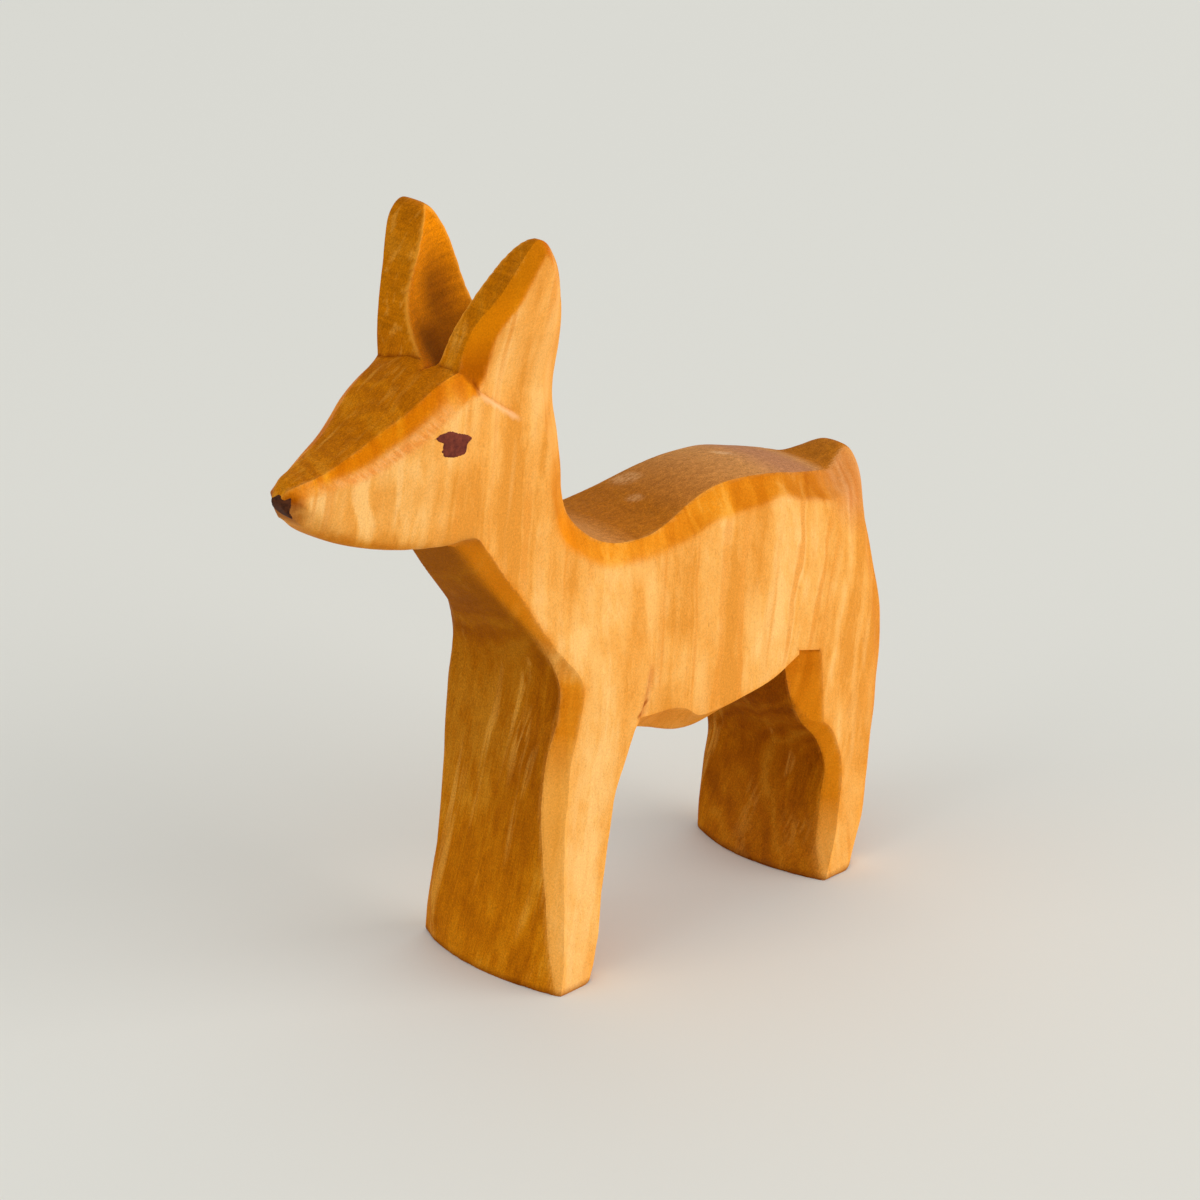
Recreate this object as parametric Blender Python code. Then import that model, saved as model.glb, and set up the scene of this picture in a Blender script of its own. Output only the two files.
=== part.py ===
"""Standing doe carved from one block of wood, with a painted nose and painted eyes.

The figure faces -X, its left side is -Y and +Z is up. It stands on z = 0 with the
middle of its length and width on the origin. Every dimension is in millimetres and
is turned into metres when a mesh is made.
"""
import math

import bmesh
import bpy
import numpy as np
from mathutils.geometry import delaunay_2d_cdt

for _ob in list(bpy.data.objects):
    bpy.data.objects.remove(_ob, do_unlink=True)

# ---------------------------------------------------------------- driving dimensions
MM = 0.001
MID_X = 18.9            # middle of the nose-to-tail length, from the front toe line
SOLE = -0.5             # height of the soles on the drawing, which stand on z = 0
STEP = 2.3              # spacing of points along the sawn outline
EDGE_SOFT = 0.45        # how far the sawn edge is sanded back
GRID = 5.5              # spacing of points on the side faces
CLEARANCE = 0.3         # gap kept between paint solids and wood
PAINT = 0.3             # thickness of a paint solid
EYE_SINK = 0.45         # depth of the wood under an eye mark
NOSE_CUT_X = -35.9      # the painted nose cap starts here

# Side outline, going round from the nose over the back: name, x, z, half width of the
# sawn edge there, reach of the knife bevel from the edge, 1 where the outline has a corner.
OUTLINE = [
    ("nose", -37.3, 79.6, 0.9, 1.5, 0),
    ("", -36.6, 80.9, 1.1, 1.5, 0),
    ("", -35.2, 81.7, 1.9, 1.8, 0),
    ("bridge", -32.4, 82.3, 2.6, 2.0, 0),
    ("", -28.8, 83.4, 3.2, 2.4, 0),
    ("", -24.5, 85.0, 3.9, 2.8, 0),
    ("brow", -21.2, 86.9, 4.8, 3.0, 0),
    ("", -18.5, 88.5, 5.6, 3.0, 0),
    ("", -15.8, 90.3, 6.1, 3.0, 0),
    ("", -13.2, 91.8, 6.8, 3.0, 0),
    ("ear_front", -10.6, 92.7, 7.7, 3.0, 1),
    ("", -10.1, 96.0, 8.2, 3.0, 0),
    ("", -9.1, 98.8, 9.0, 3.0, 0),
    ("", -6.9, 102.6, 10.8, 3.1, 0),
    ("", -4.8, 106.0, 12.1, 2.7, 0),
    ("", -2.8, 108.7, 12.8, 2.1, 0),
    ("ear_tip", -0.7, 110.0, 12.8, 1.6, 0),
    ("", 1.4, 109.2, 12.5, 1.5, 0),
    ("", 3.5, 106.3, 11.9, 1.6, 0),
    ("", 5.4, 101.9, 10.9, 2.0, 0),
    ("", 6.6, 98.0, 9.9, 2.4, 0),
    ("", 7.4, 93.0, 8.7, 3.0, 0),
    ("", 7.5, 88.0, 7.6, 3.6, 0),
    ("nape", 7.9, 83.5, 7.2, 4.0, 0),
    ("", 8.6, 79.0, 7.1, 4.0, 0),
    ("", 9.2, 74.7, 7.1, 4.2, 0),
    ("", 9.7, 70.0, 7.1, 4.2, 0),
    ("withers", 10.8, 66.4, 7.4, 4.0, 0),
    ("", 13.0, 63.8, 8.4, 3.0, 0),
    ("", 15.8, 62.1, 9.0, 2.6, 0),
    ("saddle", 19.5, 60.8, 9.0, 2.6, 0),
    ("", 24.5, 60.3, 8.8, 2.8, 0),
    ("", 29.5, 60.8, 8.3, 3.0, 0),
    ("", 35.0, 61.9, 7.5, 3.2, 0),
    ("loin", 41.0, 63.0, 7.0, 3.4, 0),
    ("", 47.0, 62.8, 7.2, 3.4, 0),
    ("", 53.0, 61.8, 7.3, 3.2, 0),
    ("croup", 59.0, 60.1, 7.0, 3.2, 0),
    ("", 64.0, 58.6, 6.0, 3.2, 0),
    ("tail_dip", 67.3, 57.7, 4.8, 2.8, 1),
    ("", 70.2, 58.6, 3.3, 2.3, 0),
    ("tail_top", 72.6, 59.3, 2.4, 2.0, 0),
    ("", 74.4, 58.2, 2.4, 2.0, 0),
    ("", 75.1, 55.0, 3.6, 2.3, 0),
    ("", 73.5, 50.5, 6.1, 2.8, 0),
    ("rump", 72.4, 45.0, 8.7, 3.0, 0),
    ("", 72.7, 39.0, 9.8, 2.6, 0),
    ("", 73.0, 31.5, 10.0, 2.4, 0),
    ("", 72.1, 23.0, 10.2, 2.2, 0),
    ("hock", 70.2, 14.0, 10.6, 2.0, 0),
    ("", 67.2, 5.0, 11.3, 2.4, 0),
    ("rear_heel", 64.6, SOLE, 11.5, 2.8, 1),
    ("rear_toe", 55.0, SOLE, 12.6, 1.4, 1),
    ("", 57.2, 4.0, 11.9, 1.5, 0),
    ("", 59.5, 9.8, 11.4, 1.6, 0),
    ("", 60.2, 15.0, 11.4, 1.6, 0),
    ("", 58.4, 19.8, 11.3, 1.6, 0),
    ("", 55.6, 23.2, 11.1, 1.6, 0),
    ("", 53.9, 27.4, 10.8, 1.7, 0),
    ("groin", 53.0, 33.4, 10.4, 2.0, 1),
    ("", 47.5, 32.5, 10.3, 1.6, 0),
    ("", 41.0, 31.0, 10.0, 1.7, 0),
    ("", 34.0, 29.5, 9.6, 2.6, 0),
    ("belly", 30.0, 29.4, 9.4, 3.1, 0),
    ("", 25.0, 31.2, 9.4, 3.0, 0),
    ("armpit", 20.3, 32.9, 9.6, 2.0, 1),
    ("", 18.2, 29.0, 10.0, 1.9, 0),
    ("", 16.2, 23.0, 10.2, 2.0, 0),
    ("", 14.1, 14.5, 10.8, 1.8, 0),
    ("", 12.1, 6.5, 11.4, 1.9, 0),
    ("front_heel", 9.8, SOLE, 11.9, 2.4, 1),
    ("front_toe", 0.3, SOLE, 12.5, 1.4, 1),
    ("", 1.6, 6.0, 11.9, 1.5, 0),
    ("", 2.8, 17.0, 11.0, 1.6, 0),
    ("", 3.6, 26.5, 10.5, 1.7, 0),
    ("", 4.7, 33.5, 10.6, 1.7, 0),
    ("", 6.0, 39.0, 10.9, 1.8, 0),
    ("chest", 6.1, 43.3, 10.8, 1.8, 0),
    ("", 3.5, 49.4, 8.9, 1.9, 0),
    ("", -2.7, 58.8, 7.4, 2.9, 0),
    ("throat", -9.3, 67.5, 6.2, 2.8, 1),
    ("", -12.0, 68.4, 7.2, 1.7, 0),
    ("", -19.5, 69.5, 6.6, 1.7, 0),
    ("jaw", -25.5, 70.9, 5.4, 1.7, 0),
    ("", -31.1, 73.1, 3.7, 1.8, 0),
    ("", -34.7, 75.8, 2.2, 1.8, 0),
    ("", -36.5, 78.1, 1.2, 1.6, 0),
]

# Half thickness of the block between its side faces: x, z, half thickness.
THICKNESS = [
    (1, 0, 14.6), (9, 0, 14.6), (56, 0, 15.0), (64, 0, 14.8),                       # feet
    (5, 8, 13.4), (8, 18, 12.5), (10, 30, 12.3), (62, 8, 13.4), (64, 20, 12.5),     # legs
    (63, 32, 12.2), (8, 42, 12.4), (14, 45, 12.4),                                  # thigh, chest
    (25, 44, 12.4), (42, 44, 12.4), (60, 44, 12.2),                                 # flank
    (20, 55, 10.6), (32, 54, 10.8), (45, 56, 10.8), (58, 53, 10.8), (66, 51, 10.2), # upper flank
    (71, 56, 6.4),                                                                  # tail
    (8, 60, 10.2), (2, 58, 10.2), (0, 70, 9.4), (4, 78, 9.5), (-4, 78, 9.6),        # neck
    (-5, 88, 9.6), (4, 88, 9.4), (-12, 80, 9.6), (-14, 88, 9.4),                    # cheek
    (-18, 82, 8.9), (-18, 73, 8.6), (-22, 78, 7.9), (-22, 84, 7.6),                 # muzzle
    (-26, 77, 6.6), (-31, 77, 5.0), (-35, 78, 3.2), (-37, 79, 2.4),
    (-6, 95, 10.6), (3, 95, 10.4), (-3, 102, 12.6), (2, 102, 12.4), (0, 109, 14.0), # ear
]

# Gap between the ears: z, x of the ears' front and back, then how far the gap reaches to
# the left and to the right of the middle, at the front and at the back.
EAR_GAP = [
    (87.5, -10.6, 7.5, -9.0, -4.0, 0.0, 0.0),
    (90.0, -10.6, 7.5, -3.0, -3.2, 2.6, 2.6),
    (92.0, -10.6, 7.5, 2.6, -1.6, 4.4, 4.6),
    (93.0, -10.5, 7.5, 3.9, -0.4, 5.2, 5.6),
    (95.0, -10.2, 7.3, 4.4, 1.0, 6.4, 7.0),
    (97.0, -9.7, 6.9, 5.0, 2.4, 7.3, 7.8),
    (98.8, -9.1, 6.5, 5.6, 3.5, 8.0, 8.3),
    (100.8, -8.0, 5.9, 6.3, 4.3, 8.6, 8.6),
    (102.6, -6.9, 5.2, 6.9, 4.6, 9.2, 8.8),
    (105.0, -5.4, 4.1, 8.0, 4.8, 9.9, 9.3),
    (107.3, -3.8, 2.8, 9.1, 5.8, 10.6, 10.0),
    (109.6, -3.2, 2.8, 10.6, 7.9, 11.3, 10.7),
    (111.0, -3.2, 2.8, 11.4, 9.6, 11.8, 11.4),
    (118.0, -3.2, 2.8, 14.0, 14.0, 15.0, 15.0),
]

# Eye mark on the cheek: centre, then lid and iris outline about the centre (x, z).
EYE_AT = (-13.6, 83.7)
EYE_SHAPE = [(-4.0, 1.7), (-1.9, 2.2), (-0.5, 2.1), (1.2, 1.5), (2.7, 0.7), (3.9, 0.0),
             (2.9, -0.6), (2.4, -1.7), (1.3, -2.1), (0.0, -2.0), (-1.5, -1.3), (-2.5, -0.3),
             (-2.6, 0.6)]

# ---------------------------------------------------------------- the carved shape
def smooth_through(points, per_span):
    """Centripetal curve through the points; the last point is left out."""
    p = np.asarray(points, float)
    ext = np.vstack([2 * p[0] - p[1], p, 2 * p[-1] - p[-2]])
    out = []
    for i in range(len(p) - 1):
        a, b, c, d = ext[i:i + 4]
        t1 = math.sqrt(max(np.linalg.norm((b - a)[:2]), 1e-6))
        t2 = t1 + math.sqrt(max(np.linalg.norm((c - b)[:2]), 1e-6))
        t3 = t2 + math.sqrt(max(np.linalg.norm((d - c)[:2]), 1e-6))
        for t in np.linspace(t1, t2, per_span, endpoint=False):
            q1 = (t1 - t) / t1 * a + t / t1 * b
            q2 = (t2 - t) / (t2 - t1) * b + (t - t1) / (t2 - t1) * c
            q3 = (t3 - t) / (t3 - t2) * c + (t - t2) / (t3 - t2) * d
            r1 = (t2 - t) / t2 * q1 + t / t2 * q2
            r2 = (t3 - t) / (t3 - t1) * q2 + (t - t1) / (t3 - t1) * q3
            out.append((t2 - t) / (t2 - t1) * r1 + (t - t1) / (t2 - t1) * r2)
    return np.array(out)


def outline_runs():
    """Stretches of the outline between corners, each (n, 4): x, z, half width, bevel reach."""
    rows = np.array([r[1:5] for r in OUTLINE], float)
    corner = [r[5] for r in OUTLINE]
    first = corner.index(1)
    rows = np.roll(rows, -first, axis=0)
    corner = corner[first:] + corner[:first] + [1]
    rows = np.vstack([rows, rows[:1]])
    runs, start = [], 0
    for i in range(1, len(rows)):
        if corner[i]:
            runs.append(np.vstack([smooth_through(rows[start:i + 1], 16), rows[i:i + 1]]))
            start = i
    return runs


def spaced(run, step):
    """The run with points at even spacing, its ends kept."""
    along = np.concatenate([[0], np.cumsum(np.linalg.norm(np.diff(run[:, :2], axis=0), axis=1))])
    n = max(2, int(round(along[-1] / step)))
    at = np.linspace(0, along[-1], n + 1)
    return np.stack([np.interp(at, along, run[:, k]) for k in range(run.shape[1])], axis=1)


def is_sole(run):
    return bool(np.all(np.abs(run[:, 1] - SOLE) < 1e-6))


RUNS = outline_runs()
EDGE = [r for r in RUNS if not is_sole(r)]
SEG_A = np.vstack([r[:-1] for r in EDGE])
SEG_B = np.vstack([r[1:] for r in EDGE])


def nearest_edge(q):
    """Distance to the sawn outline (soles left out), half width and bevel reach there."""
    q = np.atleast_2d(q)
    a, b = SEG_A[:, :2], SEG_B[:, :2]
    ab = b - a
    length2 = np.maximum((ab ** 2).sum(1), 1e-12)
    t = np.clip(((q[:, None, :] - a) * ab).sum(2) / length2, 0, 1)
    gap = np.linalg.norm(q[:, None, :] - (a + t[..., None] * ab), axis=2)
    k = gap.argmin(1)
    rows = np.arange(len(q))
    mix = SEG_A[k, 2:] + t[rows, k][:, None] * (SEG_B[k, 2:] - SEG_A[k, 2:])
    return gap[rows, k], mix[:, 0], mix[:, 1]


class SideFaces:
    """Smooth surface through the half-thickness points."""

    def __init__(self):
        rows = np.array(THICKNESS, float)
        self.at = rows[:, :2]
        n = len(rows)
        r = np.linalg.norm(self.at[:, None] - self.at[None], axis=2)
        plane = np.hstack([np.ones((n, 1)), self.at])
        system = np.block([[(r * 0.1) ** 3, plane], [plane.T, np.zeros((3, 3))]])
        self.weight = np.linalg.solve(system, np.concatenate([rows[:, 2], np.zeros(3)]))

    def __call__(self, q):
        q = np.atleast_2d(q)
        r = np.linalg.norm(q[:, None, :] - self.at, axis=2)
        n = len(self.at)
        return (r * 0.1) ** 3 @ self.weight[:n] + self.weight[n] + q @ self.weight[n + 1:]


SIDE = SideFaces()


def half_thickness(q):
    """Half width of the figure at points (x, z): flat side face, bevel, sanded sawn edge."""
    d, width, reach = nearest_edge(q)
    side = np.maximum(SIDE(q), width + 0.3)
    h = width + (side - width) * np.clip(d / reach, 0, 1)
    return np.where(d < 1e-4, width - EDGE_SOFT, h)


def inside(q, poly):
    x, z = q[:, 0], q[:, 1]
    a, b = poly, np.roll(poly, -1, axis=0)
    hit = (a[:, 1] > z[:, None]) != (b[:, 1] > z[:, None])
    dz = np.where(np.abs(b[:, 1] - a[:, 1]) < 1e-12, 1e-12, b[:, 1] - a[:, 1])
    cross = a[:, 0] + (z[:, None] - a[:, 1]) * (b[:, 0] - a[:, 0]) / dz
    return (np.sum(hit & (x[:, None] < cross), axis=1) % 2) == 1


def side_sheet():
    """Points and triangles of the left side seen from the left: (x, z) and boundary count."""
    border, rings = [], []
    for run in RUNS:
        if is_sole(run):
            toe, heel = run[0], run[-1]
            way = np.sign(heel[0] - toe[0])
            size = abs(heel[0] - toe[0])
            stops = [0, 0.4, toe[3] - 0.4, toe[3] + 0.7]
            stops += list(np.linspace(toe[3] + 0.7, size - heel[3] - 0.7, 4)[1:-1])
            stops += [size - heel[3] - 0.7, size - heel[3] + 0.4, size - 0.4]
            for s in stops:
                border.append((toe[0] + way * s, SOLE))
            continue
        pts = spaced(run, STEP)
        tangent = np.gradient(pts[:, :2], axis=0)
        tangent /= np.linalg.norm(tangent, axis=1)[:, None]
        border += [tuple(p) for p in pts[:-1, :2]]
        rings.append((pts, tangent))
    border = np.array(border)
    area = 0.5 * np.sum(border[:, 0] * np.roll(border[:, 1], -1) - np.roll(border[:, 0], -1) * border[:, 1])
    turn = 1.0 if area > 0 else -1.0
    extra = []
    for pts, tangent in rings:
        inward = turn * np.stack([-tangent[:, 1], tangent[:, 0]], axis=1)
        for off in (lambda r: 0 * r + 0.4, lambda r: r - 0.4, lambda r: r + 0.7):
            reach = off(pts[:, 3])
            q = pts[:, :2] + inward * reach[:, None]
            d = nearest_edge(q)[0]
            ok = inside(q, border) & (np.abs(d - reach) < 0.06 * reach + 0.03) & (q[:, 1] > SOLE + 0.9)
            extra += [tuple(p) for p in q[ok]]
    row = 0
    z = 3.5
    while z < 112:
        xs = np.arange(-40 + (row % 2) * GRID / 2, 78, GRID)
        q = np.stack([xs, np.full_like(xs, z)], axis=1)
        d, _, reach = nearest_edge(q)
        ok = inside(q, border) & (d > reach + 2.4)
        extra += [tuple(p) for p in q[ok]]
        z += GRID * 0.87
        row += 1
    # points that fall almost together are thinned
    kept = []
    for p in extra:
        if all((p[0] - k[0]) ** 2 + (p[1] - k[1]) ** 2 > 0.45 ** 2 for k in kept):
            kept.append(p)
    n = len(border)
    verts = [tuple(p) for p in border] + kept
    loop = list(range(n)) if area > 0 else list(range(n))[::-1]
    flat, _, faces, _, _, _ = delaunay_2d_cdt([(float(a), float(b)) for a, b in verts], [], [loop], 1, 1e-6)
    return np.array([tuple(v) for v in flat]), [list(f) for f in faces]


def new_object(name, bm, material=None):
    mesh = bpy.data.meshes.new(name)
    bm.to_mesh(mesh)
    bm.free()
    ob = bpy.data.objects.new(name, mesh)
    bpy.context.scene.collection.objects.link(ob)
    if material:
        mesh.materials.append(material)
    return ob


def metres(x, y, z):
    return ((x - MID_X) * MM, y * MM, (z - SOLE) * MM)


def paint(name, colour, roughness):
    m = bpy.data.materials.new(name)
    m.use_nodes = True
    b = m.node_tree.nodes["Principled BSDF"]
    b.inputs["Base Color"].default_value = (*colour, 1.0)
    b.inputs["Roughness"].default_value = roughness
    b.inputs["Metallic"].default_value = 0.0
    return m


def as_cutter(ob):
    ob.hide_render = True
    ob.display_type = "WIRE"
    return ob


def cut(target, cutter):
    mod = target.modifiers.new("cut_" + cutter.name, "BOOLEAN")
    mod.operation = "DIFFERENCE"
    mod.solver = "EXACT"
    mod.object = cutter


WOOD = paint("oiled_wood", (0.72, 0.36, 0.10), 0.5)
EYE_PAINT = paint("eye_paint", (0.075, 0.022, 0.026), 0.55)
NOSE_PAINT = paint("nose_paint", (0.05, 0.018, 0.016), 0.55)


def carved_body():
    flat, faces = side_sheet()
    h = half_thickness(flat)
    bm = bmesh.new()
    sheet = [bm.verts.new(metres(p[0], -t, p[1])) for p, t in zip(flat, h)]
    for f in faces:
        a, b, c = flat[f[0]], flat[f[1]], flat[f[2]]
        left_turn = (b[0] - a[0]) * (c[1] - a[1]) - (b[1] - a[1]) * (c[0] - a[0]) > 0
        bm.faces.new([sheet[i] for i in (f if left_turn else f[::-1])])
    bm.edges.ensure_lookup_table()
    rim = [e for e in bm.edges if len(e.link_faces) == 1]
    wall = bmesh.ops.extrude_edge_only(bm, edges=rim)["geom"]
    for v in wall:
        if isinstance(v, bmesh.types.BMVert):
            v.co.y = 0.0
    bmesh.ops.recalc_face_normals(bm, faces=bm.faces[:])
    ob = new_object("carved_body", bm, WOOD)
    mirror = ob.modifiers.new("right_side", "MIRROR")
    mirror.use_axis = (False, True, False)
    mirror.use_mirror_merge = True
    mirror.merge_threshold = 0.00001
    return ob


def ear_gap_cutter():
    rows = np.array(EAR_GAP)
    z_fine = np.linspace(rows[0, 0], rows[-1, 0], 400)
    levels = np.array([0, 0.02, 0.06, 0.12, 0.2, 0.3, 0.42, 0.58, 0.78, 1.0])
    bm = bmesh.new()
    rings = []
    for x in (-24.0, -16.0, -12.5, -9.5, -7.5, -5.0, -2.0, 2.0, 6.6, 12.0, 18.0):
        u = np.clip((x - rows[:, 1]) / (rows[:, 2] - rows[:, 1]), -0.3, 1)
        s = np.where(u < 0, 2 * u, 1 - (1 - u) ** 2)
        left = np.interp(z_fine, rows[:, 0], rows[:, 3] * (1 - s) + rows[:, 5] * s)
        right = np.interp(z_fine, rows[:, 0], rows[:, 4] * (1 - s) + rows[:, 6] * s)
        wide = left + right
        shut = np.where(wide <= 0.2)[0]
        start = z_fine[shut[-1]] if len(shut) else z_fine[0]
        zs = start + (rows[-1, 0] - start) * levels
        lo = np.interp(zs, z_fine, left)
        hi = np.maximum(np.interp(zs, z_fine, right), 0.2 - lo)
        ring = [bm.verts.new(metres(x, -a, z)) for a, z in zip(lo[::-1], zs[::-1])]
        ring += [bm.verts.new(metres(x, b, z)) for b, z in zip(hi, zs)]
        rings.append(ring)
    n = len(rings[0])
    for one, two in zip(rings[:-1], rings[1:]):
        for i in range(n):
            j = (i + 1) % n
            bm.faces.new((one[i], one[j], two[j], two[i]))
    bm.faces.new(rings[0])
    bm.faces.new(rings[-1][::-1])
    bmesh.ops.triangulate(bm, faces=bm.faces[:])
    bmesh.ops.recalc_face_normals(bm, faces=bm.faces[:])
    return as_cutter(new_object("cutter_ear_gap", bm))


def cheek_slab(name, side, grow, inner, outer, material=None):
    """Closed slab in the eye's outline that follows the cheek, from inner to outer depth."""
    shape = np.array(EYE_SHAPE, float)
    mid = shape.mean(axis=0)
    out = shape - mid
    shape = mid + out * (1 + grow / np.linalg.norm(out, axis=1))[:, None]
    ring = shape + np.array(EYE_AT)
    core = mid + np.array(EYE_AT)
    bm = bmesh.new()

    def layer(depth):
        t = SIDE(np.vstack([ring, core])) + depth
        vs = [bm.verts.new(metres(p[0], side * y, p[1])) for p, y in zip(np.vstack([ring, core]), t)]
        return vs[:-1], vs[-1]

    low, low_mid = layer(inner)
    top, top_mid = layer(outer)
    n = len(low)
    for i in range(n):
        j = (i + 1) % n
        bm.faces.new((low[j], low[i], low_mid))
        bm.faces.new((top[i], top[j], top_mid))
        bm.faces.new((low[i], low[j], top[j], top[i]))
    bmesh.ops.recalc_face_normals(bm, faces=bm.faces[:])
    return new_object(name, bm, material)


def nose_cap():
    """Rounded end of the muzzle in front of the cut, as a dome over the nose's section."""
    bm = bmesh.new()
    front, back = -37.4, NOSE_CUT_X - CLEARANCE
    centre_z, half_y, half_z = 79.3, 2.15, 1.95
    around, rings = 20, []
    for k in range(6):
        a = math.radians(90 * k / 6)
        x = front + (back - front) * (1 - math.sin(math.pi / 2 - a))
        r = math.sin(a + math.radians(90 / 6)) if k < 5 else 1.0
        x = front + (back - front) * (1 - math.sqrt(max(0.0, 1 - r * r)))
        rings.append([bm.verts.new(metres(x, half_y * r * math.cos(math.tau * i / around),
                                          centre_z + half_z * r * math.sin(math.tau * i / around) - 0.25 * (1 - r)))
                      for i in range(around)])
    tip = bm.verts.new(metres(front, 0.0, centre_z - 0.25))
    for i in range(around):
        j = (i + 1) % around
        bm.faces.new((tip, rings[0][j], rings[0][i]))
        for one, two in zip(rings[:-1], rings[1:]):
            bm.faces.new((one[i], one[j], two[j], two[i]))
    bm.faces.new(rings[-1])
    bmesh.ops.recalc_face_normals(bm, faces=bm.faces[:])
    return new_object("nose_tip", bm, NOSE_PAINT)


def block(name, lo, hi):
    bm = bmesh.new()
    bmesh.ops.create_cube(bm, size=1.0)
    for v in bm.verts:
        v.co = metres(*[lo[k] + (hi[k] - lo[k]) * (v.co[k] + 0.5) for k in range(3)])
    return as_cutter(new_object(name, bm))


body = carved_body()
cut(body, ear_gap_cutter())
cut(body, block("cutter_nose", (-45, -8, 70), (NOSE_CUT_X, 8, 90)))
for side, label in ((-1, "left"), (1, "right")):
    cut(body, as_cutter(cheek_slab("cutter_eye_" + label, side, CLEARANCE, -EYE_SINK, 3.0)))
    cheek_slab("eye_" + label, side, 0.0, -EYE_SINK + CLEARANCE, -EYE_SINK + CLEARANCE + PAINT, EYE_PAINT)
nose_cap()

for ob in bpy.data.objects:
    if ob.type == "MESH" and not ob.hide_render:
        ob.data.shade_smooth()
        ob.data.set_sharp_from_angle(angle=math.radians(28))
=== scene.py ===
"""Looks of the carved wooden doe: the hand-carved surface, oiled wood, paint marks, floor, light, camera.

The carved surface is the zero level of a distance field that follows the same design as the
solid part: a sawn side outline, side faces, knife bevels along the outline, and the scooped
gap between the ears. Design lengths are in millimetres, measured from the front toe line.
"""
import math

import bmesh
import bpy
import numpy as np
from mathutils import Matrix, Vector, kdtree
from mathutils.geometry import delaunay_2d_cdt


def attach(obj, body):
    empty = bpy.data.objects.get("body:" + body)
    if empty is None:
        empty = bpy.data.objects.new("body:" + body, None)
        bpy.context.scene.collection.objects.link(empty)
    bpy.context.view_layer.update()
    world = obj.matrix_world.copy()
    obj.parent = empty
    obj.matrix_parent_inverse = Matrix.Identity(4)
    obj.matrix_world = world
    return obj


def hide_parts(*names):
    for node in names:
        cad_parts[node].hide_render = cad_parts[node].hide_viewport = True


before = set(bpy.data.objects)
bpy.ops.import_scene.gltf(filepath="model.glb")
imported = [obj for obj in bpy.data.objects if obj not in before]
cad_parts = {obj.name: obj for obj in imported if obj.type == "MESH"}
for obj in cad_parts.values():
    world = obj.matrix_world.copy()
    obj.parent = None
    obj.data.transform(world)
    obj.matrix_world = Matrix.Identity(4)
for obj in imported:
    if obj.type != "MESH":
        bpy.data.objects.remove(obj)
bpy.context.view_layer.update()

MM = 0.001
MID_X = 18.9        # design x of the row's origin
SOLE = -0.5         # design z of the soles, which stand on the floor
CELL = 0.5          # spacing of the carving grid
LOOK = 0.25         # spacing of the flat lookup grids
RIDGE = 0.75        # how broadly the ridges of the ears are rounded

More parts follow.
